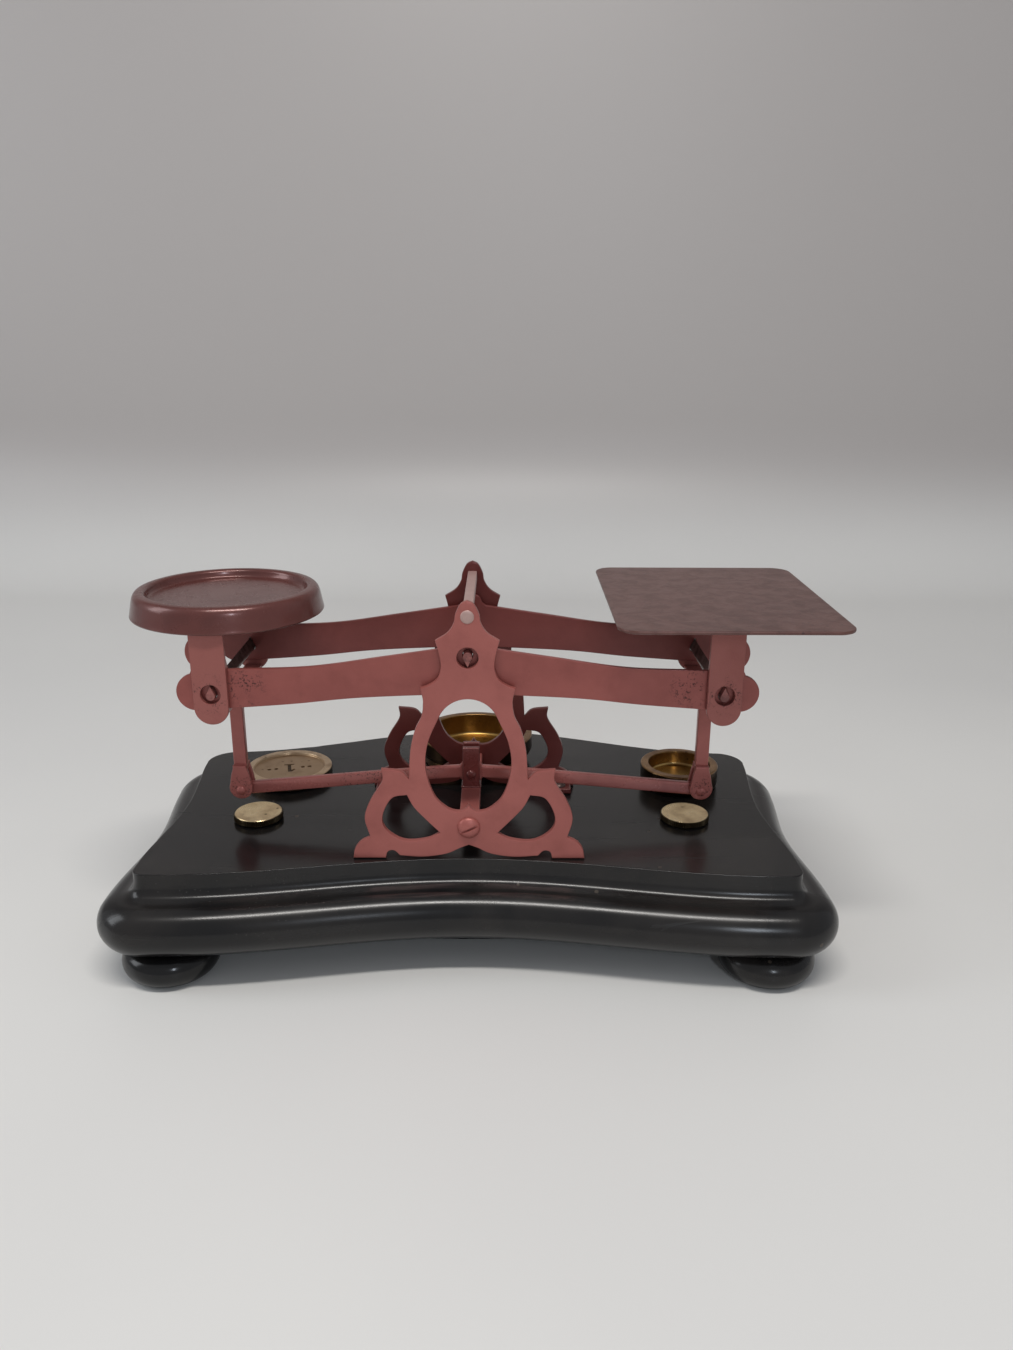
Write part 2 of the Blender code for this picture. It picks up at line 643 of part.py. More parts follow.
def beam_outline():
    """A gull-winged plate: heights are from the centre knife's edge."""
    drop = END_HOLE_Z - CENTRE_EDGE_Z
    top = [(5.2 * MM, 6.1 * MM), (0.33 * ARM, 2.6 * MM), (0.62 * ARM, -0.9 * MM),
           (ARM - LOBE_RADIUS + 0.9 * MM, drop + 8.2 * MM)]
    hump = [(0, 10.6 * MM), (2.6 * MM, 9.6 * MM), (3.8 * MM, 7.2 * MM), (5.2 * MM, 6.1 * MM)]
    upper = arc((ARM + UPPER_LOBE_OUT, drop + UPPER_LOBE_RISE), LOBE_RADIUS, 190, -48, 14)
    outer = arc((ARM + LOBE_OUT, drop), LOBE_RADIUS, 76, -90, 10)
    lower = [(ARM + LOBE_OUT, drop - LOBE_RADIUS), (0.7 * ARM, drop - 4.2 * MM),
             (0.42 * ARM, drop - 1.8 * MM), (0, drop - 0.2 * MM)]
    return mirrored(chain(smooth(hump, 3), smooth(top, 3), upper, outer, smooth(lower, 4)))


def make_beam(rocker):
    knives = {"centre_knife_bar": ((0, 0), False, FRAME_OUTER),
              "left_knife_bar": ((-ARM, END_EDGE_Z - CENTRE_EDGE_Z), True, LEG_OUTER),
              "right_knife_bar": ((ARM, END_EDGE_Z - CENTRE_EDGE_Z), True, LEG_OUTER)}
    loops = [beam_outline()]
    for (x, z), apex_up, _ in knives.values():
        section = teardrop(KNIFE_RADIUS, KNIFE_HEIGHT, apex_up, SEAT_GAP)
        loops.append([(x + a, z + b) for a, b in section])
    for name, sy in (("beam_plate_front", -1), ("beam_plate_rear", 1)):
        middle = MECHANISM_Y + sy * (BEAM_OUTER - BEAM_SHEET / 2)
        slab(name, loops, BEAM_SHEET, BEAM_PAINT, (0, middle, CENTRE_EDGE_Z), rocker)
    for name, ((x, z), apex_up, reach) in knives.items():
        section = teardrop(KNIFE_RADIUS, KNIFE_HEIGHT, apex_up)
        slab(name, [section], 2 * reach, STEEL, (x, MECHANISM_Y, CENTRE_EDGE_Z + z), rocker)


def stirrup_outline():
    """The bent strip from the side: two legs and a crown with round bends."""
    top = CROWN_TOP - END_EDGE_Z
    bottom = LEG_BOTTOM - END_EDGE_Z - 1 * MM
    bend, inner = CROWN_BEND, CROWN_BEND - STIRRUP_SHEET
    bend_y, bend_z = LEG_OUTER - bend, top - bend
    outside = [(LEG_OUTER, bottom)] + arc((bend_y, bend_z), bend, 0, 90, 4)
    inside = arc((bend_y, bend_z), inner, 90, 0, 4) + [(LEG_INNER, bottom)]
    left_in = [(-y, z) for y, z in reversed(inside)]
    left_out = [(-y, z) for y, z in reversed(outside)]
    return chain(outside, left_out, left_in, inside)


def make_stirrup(name, place, parent):
    """The bent strip, trimmed to round leg ends with a bearing hole in each."""
    half = STIRRUP_WIDTH / 2
    top = CROWN_TOP - END_EDGE_Z + 1 * MM
    round_z = LEG_BOTTOM - END_EDGE_Z + half
    face = chain([(half, top)], arc((0, round_z), half, 0, -180, 12), [(-half, top)])
    hole = circle((0, END_HOLE_Z - END_EDGE_Z), STIRRUP_HOLE_RADIUS, 24)
    strip = slab(name, [stirrup_outline()], STIRRUP_WIDTH + 4 * MM, COPPER, place, parent, ALONG_X)
    trim = cutter(f"{name}_trim", slab_bmesh([face, hole], 4 * LEG_OUTER), place, parent)
    boolean(strip, trim, "INTERSECT")


def make_bridge(name, place, parent):
    """A strip between the leg ends, below the knife bar, that the stem hangs from."""
    z = BRIDGE_Z - END_EDGE_Z
    half = LEG_INNER - SEAT_GAP
    wide = BRIDGE_WIDTH / 2
    strip = add_mesh(name, boxes([((-wide, -half, z - BRIDGE_SHEET), (wide, half, z))]), COPPER,
                     place, parent)
    side = STEM_TENON / 2 + SEAT_GAP
    hole = boxes([((-side, -side, z - 2 * BRIDGE_SHEET), (side, side, z + BRIDGE_SHEET))])
    boolean(strip, cutter(f"{name}_hole", hole, place, parent))


def stem_outline():
    """The stem from the front: a strip that widens to the fork's round ears."""
    half = STEM_WIDTH / 2
    top = BRIDGE_Z - BRIDGE_SHEET - SEAT_GAP - FORK_PIN_Z
    ear = arc((0, FORK_RISE), FORK_RADIUS, 25, -90, 6)
    waist = 0.5 * (half + ear[0][0])
    side = smooth([(half, FORK_RISE + 2.1 * FORK_RADIUS), (waist, FORK_RISE + 1.3 * FORK_RADIUS), ear[0]], 2)
    return mirrored(chain([(0, top), (half, top)], side, ear))


def make_stem(name, place, parent):
    """The stem, its fork over the stay's end, and the square tenon through the bridge."""
    outer = SLOT_HALF + EAR
    depth = 2 * outer
    fork_top = FORK_RISE + 2.1 * FORK_RADIUS
    pin = Vector(place) + Vector((0, 0, FORK_PIN_Z - END_EDGE_Z))
    loops = [stem_outline(), circle((0, 0), PIN_RADIUS + SEAT_GAP, 12)]
    stem = slab(name, loops, depth, COPPER, pin, parent)
    strip = STEM_DEPTH / 2
    far = BRIDGE_Z - FORK_PIN_Z
    slot_top = FORK_RISE + 1.5 * FORK_RADIUS
    wide = 2 * FORK_RADIUS
    relief = [((-wide, strip, fork_top), (wide, 2 * outer, far)),
              ((-wide, -2 * outer, fork_top), (wide, -strip, far))]
    slot = [((-wide, -SLOT_HALF, -wide), (wide, SLOT_HALF, slot_top))]
    boolean(stem, cutter(f"{name}_cuts", boxes(relief + slot), pin, parent))
    side = STEM_TENON / 2
    tenon_low = BRIDGE_Z - BRIDGE_SHEET - 2 * MM - FORK_PIN_Z
    tenon = boxes([((-side, -side, tenon_low), (side, side, far + SEAT_GAP + 0.4 * MM))])
    boolean(stem, cutter(f"{name}_tenon", tenon, pin, parent), "UNION")
    head = side + 0.6 * MM
    cap = boxes([((-head, -head, far + SEAT_GAP), (head, head, far + SEAT_GAP + 0.8 * MM))])
    boolean(stem, cutter(f"{name}_head", cap, pin, parent), "UNION")
    make_pin(name.replace("stem", "fork_pin"), outer, pin, parent)


def make_carrier(side, sx, rocker):
    place = Vector((sx * ARM, MECHANISM_Y, END_EDGE_Z))
    swing = pivot(f"{side}_carrier_pivot", place, rocker)
    make_stirrup(f"{side}_stirrup", place, swing)
    make_bridge(f"{side}_bridge", place, swing)
    make_stem(f"{side}_stem", place, swing)
    return swing


def make_round_pan(swing):
    """A pressed dish upside down: a shallow recess, a round rim and a deep skirt."""
    sheet, radius, recess = PAN_SHEET, PAN_RADIUS, PAN_RECESS_RADIUS
    floor = sheet
    rim = floor + PAN_RECESS
    low = rim - PAN_SKIRT
    shoulder = radius - 2.9 * MM
    outside = [(0, floor), (recess - 0.6 * MM, floor), (recess, floor + 0.5 * MM),
               (recess + 0.5 * MM, rim - 0.8 * MM), (recess + 1.6 * MM, rim)]
    outside += [(shoulder - 0.7 * MM, rim), (shoulder + 0.9 * MM, rim - 0.9 * MM),
                (radius - 0.9 * MM, rim - 4 * MM), (radius, low + 0.5 * MM)]
    inside = [(radius - 0.3 * MM, low), (radius - 0.8 * sheet, low),
              (radius - 0.9 * MM - sheet, rim - 4.2 * MM), (shoulder - 0.1 * MM, rim - 1.8 * MM),
              (shoulder - 1.2 * MM, rim - sheet), (recess + 2.1 * MM, rim - sheet),
              (recess + 0.5 * MM + sheet, rim - 1.6 * MM - 0.3 * sheet), (recess + 0.6 * sheet, 0), (0, 0)]
    turned("round_pan", outside + inside, BEAM_PAINT, (-ARM, MECHANISM_Y, PAN_Z), swing, steps=40)


def make_letter_plate(swing):
    x, y = PLATE_LENGTH / 2, PLATE_DEPTH / 2
    r = PLATE_CORNER
    outline = chain(arc((x - r, y - r), r, 0, 90, 5), arc((r - x, y - r), r, 90, 180, 5),
                    arc((r - x, r - y), r, 180, 270, 5), arc((x - r, r - y), r, 270, 360, 5))
    slab("letter_plate", [outline], PLATE_SHEET, BEAM_PAINT,
         (ARM, MECHANISM_Y, PAN_Z + PLATE_SHEET / 2), swing, ALONG_Z)


def make_stay():
    """A flat strip on edge: a boss on the centre pin and an eye on each fork pin."""
    tilt = pivot("stay_pivot", (0, MECHANISM_Y, STAY_PIN_Z))
    drop = FORK_PIN_Z - STAY_PIN_Z
    half = STAY_HEIGHT / 2
    boss = STAY_BOSS_RADIUS
    join = math.degrees(math.asin(half / boss))
    eye = STAY_END_RADIUS
    eye_join = math.degrees(math.asin(half / eye))
    upper = smooth([(boss * math.cos(math.radians(join)), half), (0.3 * ARM, 0.24 * drop + half),
                    (ARM - eye * math.cos(math.radians(eye_join)), drop + half)], 4)
    lower = smooth([(ARM - eye * math.cos(math.radians(eye_join)), drop - half),
                    (0.3 * ARM, 0.24 * drop - half), (boss * math.cos(math.radians(join)), -half)], 4)
    outline = mirrored(chain(arc((0, 0), boss, 90, join, 4), upper,
                             arc((ARM, drop), eye, 180 - eye_join, eye_join - 180, 12), lower,
                             arc((0, 0), boss, -join, -90, 4)))
    pin = PIN_RADIUS + RUN_GAP
    loops = [outline] + [circle(centre, pin, 14) for centre in ((0, 0), (ARM, drop), (-ARM, drop))]
    slab("stay_bar", loops, STAY_SHEET, COPPER, (0, MECHANISM_Y, STAY_PIN_Z), tilt)


def make_cup(name, radius, height, wall, floor, step, place, finish):
    """A brass cup: with a step, a ledge inside that the next cup of the nest stands on."""
    edge = 0.5 * MM
    inner = radius - wall
    profile = [(0, floor)]
    if step:
        profile += [(inner - step, floor), (inner - step, height * 0.62), (inner, height * 0.62)]
    else:
        profile += [(inner, floor)]
    profile += [(inner, height - edge), (inner + edge, height), (radius - edge, height),
                (radius, height - edge), (radius, edge), (radius - edge, 0), (0, 0)]
    turned(name, profile, finish, place, steps=32)


def make_disc(name, place):
    edge = 0.6 * MM
    inner = DISC_RADIUS - DISC_RIM
    profile = [(0, DISC_HEIGHT - DISC_RECESS), (inner, DISC_HEIGHT - DISC_RECESS),
               (inner + edge, DISC_HEIGHT), (DISC_RADIUS - edge, DISC_HEIGHT),
               (DISC_RADIUS, DISC_HEIGHT - edge),
               (DISC_RADIUS, edge), (DISC_RADIUS - edge, 0), (0, 0)]
    turned(name, profile, BRASS, place, steps=32)


def make_coin(name, place):
    """A thin weight with a serrated edge."""
    outline = []
    for tooth in range(COIN_TEETH):
        for share, radius in ((0.0, COIN_RADIUS), (0.5, COIN_RADIUS - COIN_TOOTH)):
            angle = 2 * math.pi * (tooth + share) / COIN_TEETH
            outline.append((radius * math.cos(angle), radius * math.sin(angle)))
    slab(name, [outline], COIN_HEIGHT, PALE_BRASS, place, turn=ALONG_Z)


def on_board(x, y, lift=0.0):
    return (x, MECHANISM_Y + y, STAND_Z + lift)


def make_weights():
    make_cup("large_cup_weight", LARGE_CUP_RADIUS, LARGE_CUP_HEIGHT, LARGE_CUP_WALL, LARGE_CUP_FLOOR,
             LARGE_CUP_STEP, on_board(*LARGE_CUP_PLACE), BRASS)
    make_cup("small_cup_weight", SMALL_CUP_RADIUS, SMALL_CUP_HEIGHT, SMALL_CUP_WALL, SMALL_CUP_FLOOR,
             0.0, on_board(*SMALL_CUP_PLACE), BRASS)
    make_disc("rimmed_disc_weight", on_board(*DISC_PLACE))
    make_coin("left_coin_weight", on_board(-COIN_X, 0.0, COIN_HEIGHT / 2))
    make_coin("right_coin_weight", on_board(COIN_X, 0.0, COIN_HEIGHT / 2))


clear_scene()
PIECES = new_collection("letter_scale")
CUTTERS = new_collection("letter_scale_cutters")
make_board()
make_feet()
make_frames()
make_stand_screws()
make_spacer()
make_cross_bar()
make_stay_post()
beam_rocker = pivot("beam_pivot", CENTRE)
make_beam(beam_rocker)
left_swing = make_carrier("left", -1, beam_rocker)
right_swing = make_carrier("right", 1, beam_rocker)
make_round_pan(left_swing)
make_letter_plate(right_swing)
make_stay()
make_weights()
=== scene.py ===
"""A copper-rose letter scale on a black lacquered board, with loose brass weights.

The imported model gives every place. Each shape here is a finer make of one of its nodes:
bevelled sheets, turned dishes and cups, a moulded board, slotted screws and peened rivets.
"""

import math

import bmesh
import bpy
from mathutils import Matrix, Vector


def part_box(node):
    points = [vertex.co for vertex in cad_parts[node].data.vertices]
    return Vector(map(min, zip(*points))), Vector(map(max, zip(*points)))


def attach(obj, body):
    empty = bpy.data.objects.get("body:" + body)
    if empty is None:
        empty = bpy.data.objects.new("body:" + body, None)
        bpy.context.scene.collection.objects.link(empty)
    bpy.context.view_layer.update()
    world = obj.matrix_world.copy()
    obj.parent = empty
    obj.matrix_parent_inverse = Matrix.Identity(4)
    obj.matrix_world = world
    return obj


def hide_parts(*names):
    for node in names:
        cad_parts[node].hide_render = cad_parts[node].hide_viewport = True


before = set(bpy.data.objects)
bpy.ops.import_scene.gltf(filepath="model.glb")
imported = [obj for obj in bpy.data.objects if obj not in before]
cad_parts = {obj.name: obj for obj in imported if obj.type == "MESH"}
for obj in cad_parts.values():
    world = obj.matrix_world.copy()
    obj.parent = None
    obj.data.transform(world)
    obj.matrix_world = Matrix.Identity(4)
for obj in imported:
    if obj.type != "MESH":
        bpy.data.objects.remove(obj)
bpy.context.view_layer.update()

MM = 0.001

# Places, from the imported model.
BOARD_LOW, BOARD_HIGH = (Vector(corner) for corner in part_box("base_board"))
BOARD_TOP = BOARD_HIGH.z
STAND_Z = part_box("front_frame")[0][2]
MID_Y = (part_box("front_frame")[0][1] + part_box("rear_frame")[1][1]) / 2
FRAME_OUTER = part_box("rear_frame")[1][1] - MID_Y


def box_centre(node):
    low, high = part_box(node)
    return (Vector(low) + Vector(high)) / 2


def box_size(node):
    low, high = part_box(node)
    return Vector(high) - Vector(low)


CENTRE_KNIFE = Vector((0, MID_Y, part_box("centre_knife_bar")[0][2]))
ARM = box_centre("right_knife_bar").x
END_EDGE_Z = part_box("right_knife_bar")[1][2]
STAY_PIN = box_centre("stay_pivot_pin")
FORK_PIN_Z = box_centre("right_fork_pin").z
CROSS_BAR = box_centre("cross_bar")
SPACER = box_centre("top_spacer")
FRAME_SHEET = 2.2 * MM
FRAME_FOOT_X = 34.6 * MM
BEARING_RADIUS = 3.6 * MM
PIVOT_Z = CENTRE_KNIFE.z + 3.3 * MM
LEG_HOLE_RADIUS = 3.35 * MM
END_HOLE_Z = END_EDGE_Z - 3.05 * MM
KNIFE_BACK_RADIUS = 1.55 * MM
KNIFE_HEIGHT = 5.2 * MM
SLOT_HALF = 1.65 * MM
PIN_RADIUS = 1.2 * MM
PIN_HEAD_RADIUS = 1.75 * MM
BEAM_SHEET = box_size("beam_plate_front").y


# ---- shader maths

class Value:
    """A socket that does arithmetic by adding Math nodes."""

    def __init__(self, maker, socket):
        self.maker = maker
        self.socket = socket

    def math(self, operation, *others, clamp=False):
        settings = {"operation": operation, "use_clamp": clamp}
        return self.maker.add("ShaderNodeMath", settings, dict(enumerate((self, *others))))

    def __add__(self, other):
        return self.math("ADD", other)

    def __mul__(self, other):
        return self.math("MULTIPLY", other)

    def __sub__(self, other):
        return self.math("SUBTRACT", other)

    def __rsub__(self, other):
        return (self * -1.0) + other

    def above(self, low, high):
        """0 below low, 1 above high, smooth between."""
        return self.maker.add("ShaderNodeMapRange", {"interpolation_type": "SMOOTHSTEP"},
                              {0: self, 1: low, 2: high, 3: 0.0, 4: 1.0})

    def below(self, low, high):
        return 1.0 - self.above(low, high)

    def held(self):
        """Kept between 0 and 1."""
        return self.math("ADD", 0.0, clamp=True)


class Finish:
    """A material with a Principled shader, and the calls that build its nodes."""

    def __init__(self, name, **fixed):
        self.material = bpy.data.materials.new(name)
        self.material.use_nodes = True
        self.nodes = self.material.node_tree.nodes
        self.links = self.material.node_tree.links
        self.shader = self.nodes["Principled BSDF"]
        for socket, value in fixed.items():
            self.shader.inputs[socket.replace("_", " ")].default_value = value
        self.place = self.add("ShaderNodeTexCoord", out="Object")

    def add(self, kind, settings=None, inputs=None, out=0):
        node = self.nodes.new(kind)
        for key, value in (settings or {}).items():
            setattr(node, key, value)
        for key, value in (inputs or {}).items():
            self.feed(node.inputs[key], value)
        return Value(self, node.outputs[out])

    def feed(self, socket, value):
        if isinstance(value, Value):
            self.links.new(value.socket, socket)
        elif isinstance(value, tuple) and socket.type == "RGBA":
            socket.default_value = (*value, 1.0)
        else:
            socket.default_value = value

    def centred(self, centre, stretch=(1.0, 1.0, 1.0)):
        """Object coordinates measured from a point, in metres, and stretched."""
        offset = tuple(-c * s for c, s in zip(centre, stretch))
        return self.add("ShaderNodeMapping", None,
                        {"Vector": self.place, "Location": offset, "Scale": stretch})

    def noise(self, scale, detail=3.0, roughness=0.55, where=None, distortion=0.0):
        return self.add("ShaderNodeTexNoise", None,
                        {"Vector": where or self.place, "Scale": scale, "Detail": detail,
                         "Roughness": roughness, "Distortion": distortion})

    def specks(self, scale, size):
        """1 inside small round specks, 0 between them."""
        cells = self.add("ShaderNodeTexVoronoi", {"feature": "F1"},
                         {"Vector": self.place, "Scale": scale}, "Distance")
        return cells.below(size * 0.6, size)

    def length(self, vector):
        return self.add("ShaderNodeVectorMath", {"operation": "LENGTH"}, {0: vector}, "Value")

    def axis(self, vector, index):
        return self.add("ShaderNodeSeparateXYZ", None, {0: vector}, index)

    def near(self, centre, radius):
        """1 at a point, falling to 0 at a radius from it."""
        return self.length(self.centred(centre)).below(radius * 0.35, radius)

    def mix(self, first, second, factor):
        return self.add("ShaderNodeMix", {"data_type": "RGBA", "clamp_factor": True},
                        {0: factor, 6: first, 7: second}, 2)

    def bump(self, height, strength, distance, under=None):
        inputs = {"Height": height, "Strength": strength, "Distance": distance}
        if under:
            inputs["Normal"] = under
        return self.add("ShaderNodeBump", None, inputs)

    def finish(self, colour, roughness, normal, metallic=None):
        wires = {"Base Color": colour, "Roughness": roughness, "Normal": normal, "Metallic": metallic}
        for socket, value in wires.items():
            if value is not None:
                self.feed(self.shader.inputs[socket], value)
        return self.material


# ---- finishes

def copper_paint(name, base, deep, gloss, pitted=(), peel=0.12, coat=0.0, worn=0.35):
    """Copper-rose metallic paint: brushed on, a little mottled, with pits and grime in places."""
    f = Finish(name, Metallic=0.30, Coat_Weight=coat, Coat_Roughness=0.12)
    cloud = f.noise(38.0, 4.0, 0.6)
    drift = f.noise(130.0, 5.0, 0.62)
    flake = f.noise(3800.0, 2.0, 0.7)
    grime = f.noise(95.0, 6.0, 0.68, distortion=0.6)
    crumbs = f.noise(1500.0, 5.0, 0.65, distortion=0.4)
    pits = crumbs.above(0.62, 0.68) * f.noise(170.0, 2.0).above(0.55, 0.66) * worn
    for centre, radius in pitted:
        zone = f.near(centre, radius)
        pits = pits + zone * crumbs.above(0.53, 0.60) * f.noise(330.0, 3.0).above(0.44, 0.54)
    pits = pits.held()
    tint = f.mix(base, deep, (cloud.above(0.38, 0.66) * 0.35 + drift.above(0.45, 0.7) * 0.22).held())
    pale = tuple(min(1.0, c * 1.28 + 0.012) for c in base)
    tint = f.mix(tint, pale, flake.above(0.52, 0.75) * 0.30)
    tint = f.mix(tint, (0.050, 0.020, 0.018), grime.above(0.60, 0.78) * 0.42 * worn)
    tint = f.mix(tint, (0.030, 0.012, 0.012), pits * 0.85)
    rough = cloud * 0.16 + drift * 0.12 + pits * 0.3 + (gloss - 0.13)
    skin = f.noise(900.0, 3.0, 0.5)
    ripple = f.noise(240.0, 2.0, 0.5)
    normal = f.bump(skin + ripple * 1.6, peel, 0.18 * MM)
    normal = f.bump(pits * -1.0, 0.5, 0.12 * MM, normal)
    return f.finish(tint, rough.held(), normal)


def wrinkled_paint(name, base, deep, gloss):
    """Thick paint that has wrinkled and crept, with a soft shine."""
    f = Finish(name, Metallic=0.28, Coat_Weight=0.08, Coat_Roughness=0.2)
    lumps = f.noise(150.0, 4.0, 0.58, distortion=0.5)
    fine = f.noise(620.0, 4.0, 0.6)
    cloud = f.noise(26.0, 3.0, 0.5)
    tint = f.mix(base, deep, (lumps.above(0.42, 0.62) * 0.5 + cloud.above(0.4, 0.7) * 0.35).held())
    pale = tuple(min(1.0, c * 1.5 + 0.02) for c in base)
    tint = f.mix(tint, pale, fine.above(0.52, 0.72) * 0.3)
    specks = f.specks(420.0, 0.26) * f.noise(120.0, 2.0).above(0.52, 0.62)
    tint = f.mix(tint, (0.05, 0.022, 0.02), specks * 0.8)
    rough = (lumps * 0.22 + fine * 0.12 + (gloss - 0.16)).held()
    normal = f.bump(lumps, 0.55, 0.30 * MM)
    normal = f.bump(fine, 0.35, 0.12 * MM, normal)
    return f.finish(tint, rough, normal)


def black_lacquer(name):
    """Deep black lacquer over wood: a hint of grain, smears, fine scratches and worn nicks."""
    f = Finish(name, IOR=1.42)
    along = f.centred((0, 0, 0), (0.16, 1.0, 1.0))
    grain = f.noise(420.0, 6.0, 0.65, along)
    smear = f.noise(16.0, 5.0, 0.6, distortion=0.8)
    hairs = f.noise(300.0, 2.0, 0.5, f.centred((0, 0, 0), (0.05, 1.0, 0.4)), 1.2)
    dust = f.specks(520.0, 0.12) * f.noise(45.0, 3.0).above(0.52, 0.66)
    nicks = f.specks(110.0, 0.10) * f.noise(24.0, 3.0).above(0.54, 0.62)
    colour = f.mix((0.0065, 0.0062, 0.0066), (0.017, 0.015, 0.014), smear.above(0.4, 0.75))
    colour = f.mix(colour, (0.09, 0.085, 0.08), dust * 0.45)
    colour = f.mix(colour, (0.13, 0.10, 0.075), nicks * 0.6)
    rough = smear * 0.16 + hairs.above(0.62, 0.72) * 0.10 + grain * 0.08 + nicks * 0.3 + 0.075
    height = grain * 0.5 + smear * 2.0 - nicks * 1.5
    normal = f.bump(height, 0.10, 0.12 * MM)
    return f.finish(colour, rough.held(), normal)


def aged_brass(name, centre, light, dark, gloss, outside, inside=None, rings=1.0):
    """Turned brass: fine tool rings about the axis, blotchy tarnish, and painted shade on the outer side
    wall.
    """
    f = Finish(name, Metallic=1.0)
    here = f.centred(centre)
    radius = f.length(f.centred(centre, (1.0, 1.0, 0.0)))
    height = f.axis(here, "Z")
    tarnish = f.noise(120.0, 6.0, 0.66)
    blotch = f.noise(38.0, 4.0, 0.6)
    tool = (radius * 9000.0 + blotch * 3.0).math("SINE")
    colour = f.mix(light, dark, (tarnish.above(0.42, 0.66) * 0.55 + blotch.above(0.45, 0.7) * 0.3).held())
    if inside:
        bowl, bowl_radius = inside
        within = radius.below(bowl_radius * 0.97, bowl_radius * 1.02)
        colour = f.mix(colour, f.mix(bowl, dark, tarnish.above(0.5, 0.75) * 0.6), within)
    # Painted shade: the outer side wall below the top is darkened to near black.
    wall, top = outside
    outer = height.below(top * 0.90, top * 0.97) * radius.above(wall * 0.90, wall * 0.93)
    colour = f.mix(colour, (0.030, 0.018, 0.010), outer * 0.9)
    stains = f.specks(330.0, 0.22) * tarnish.above(0.5, 0.6)
    colour = f.mix(colour, (0.06, 0.035, 0.018), stains * 0.7)
    rough = (tarnish * 0.3 + stains * 0.2 + tool * 0.02 + (gloss - 0.14)).held()
    normal = f.bump(tool, 0.10 * rings, 0.03 * MM)
    normal = f.bump(tarnish, 0.18, 0.08 * MM, normal)
    return f.finish(colour, rough, normal)


def dark_steel(name, painted_from=None):
    """Dull steel; a bar through the mechanism was caught by the paint at both ends."""
    f = Finish(name)
    streak = f.noise(900.0, 4.0, 0.6, f.centred((0, 0, 0), (1.0, 0.06, 1.0)))
    rust = f.noise(210.0, 6.0, 0.7)
    colour = f.mix((0.16, 0.115, 0.105), (0.05, 0.03, 0.026), rust.above(0.4, 0.65))
    colour = f.mix(colour, (0.11, 0.045, 0.02), rust.above(0.62, 0.75) * 0.6)
    rough = (streak * 0.2 + rust * 0.3 + 0.14).held()
    metal = rust * 0.2 + 0.75
    if painted_from:
        across = f.axis(f.centred((0, MID_Y, 0)), "Y").math("ABSOLUTE")
        painted = across.above(painted_from, painted_from + 0.5 * MM)
        paint = f.mix((0.30, 0.105, 0.092), (0.14, 0.05, 0.045), rust.above(0.4, 0.6))
        colour = f.mix(colour, paint, painted)
        metal = metal * (1.0 - painted * 0.7)
    return f.finish(colour, rough, f.bump(streak + rust, 0.25, 0.08 * MM), metal.held())


def engraved_brass(name):
    """The floor of a punched mark, filled with old polish."""
    f = Finish(name, Metallic=0.4)
    fill = f.noise(900.0, 4.0, 0.6)
    colour = f.mix((0.045, 0.026, 0.012), (0.12, 0.07, 0.03), fill.above(0.4, 0.7))
    return f.finish(colour, (fill * 0.3 + 0.45).held(), f.bump(fill, 0.3, 0.05 * MM))


def studio_white(name):
    f = Finish(name)
    cloud = f.noise(3.0, 3.0, 0.5)
    tooth = f.noise(900.0, 3.0, 0.6)
    # Painted shade: the paint darkens from the table up the wall.
    wall = f.axis(f.place, "Z").above(0.0, 0.12)
    colour = f.mix((0.76, 0.755, 0.735), (0.72, 0.715, 0.70), cloud.above(0.35, 0.7))
    colour = f.mix(colour, (0.46, 0.435, 0.425), wall)
    return f.finish(colour, (tooth * 0.1 + 0.36).held(), f.bump(tooth, 0.08, 0.05 * MM))


ROSE = (0.37, 0.112, 0.096)
ROSE_DEEP = (0.24, 0.066, 0.056)


def pits(x, y, z, radius):
    """Pitted zones at both ends of the beam, from the mechanism's plane."""
    return [(Vector((sx * x, MID_Y - y, z)), radius) for sx in (-1, 1)]


LEG_PITS = pits(ARM, FRAME_OUTER, END_HOLE_Z, 9 * MM)
FORK_PITS = pits(ARM, 3 * MM, FORK_PIN_Z + 1 * MM, 7.5 * MM)
BEAM_PITS = pits(ARM - 11 * MM, 29 * MM, END_HOLE_Z + 2 * MM, 9 * MM)
STAY_PITS = [(Vector((x * ARM, MID_Y, FORK_PIN_Z + 4 * MM)), 15 * MM) for x in (-0.45, -0.24)]

FRAME_PAINT = copper_paint("frame_copper_rose_paint", ROSE, ROSE_DEEP, 0.40, worn=0.22)
# A darker copy of the copper-rose paint: painted shade on the rear frame.
REAR_FRAME_SHADED_PAINT = copper_paint("rear_frame_painted_shade_paint", (0.13, 0.028, 0.024), (0.07, 0.014, 0.012),
                          0.34, worn=0.3)
LEG_PAINT = copper_paint("stirrup_copper_rose_paint", (0.30, 0.097, 0.083), ROSE_DEEP, 0.36, LEG_PITS)
STEM_PAINT = copper_paint("stem_copper_rose_paint", ROSE, ROSE_DEEP, 0.34, FORK_PITS)
STAY_PAINT = copper_paint("stay_copper_rose_paint", (0.35, 0.108, 0.094), (0.20, 0.055, 0.048),
                          0.28, STAY_PITS, peel=0.2, coat=0.3)
# A darker copy of the stay paint: painted shade on the clevis post and its pin.
POST_SHADED_PAINT = copper_paint("post_painted_shade_paint", (0.155, 0.036, 0.032), (0.085, 0.018, 0.016),
                          0.26, peel=0.2, coat=0.3)
# A paler, greyer copy of the copper-rose paint: painted sheen on the spacer bar.
SPACER_SHEEN_PAINT = copper_paint("spacer_painted_sheen_paint", (0.46, 0.31, 0.28), (0.34, 0.20, 0.18), 0.40)
BEAM_PAINT = copper_paint("beam_copper_rose_paint", (0.30, 0.083, 0.071), (0.19, 0.048, 0.041),
                          0.33, BEAM_PITS)
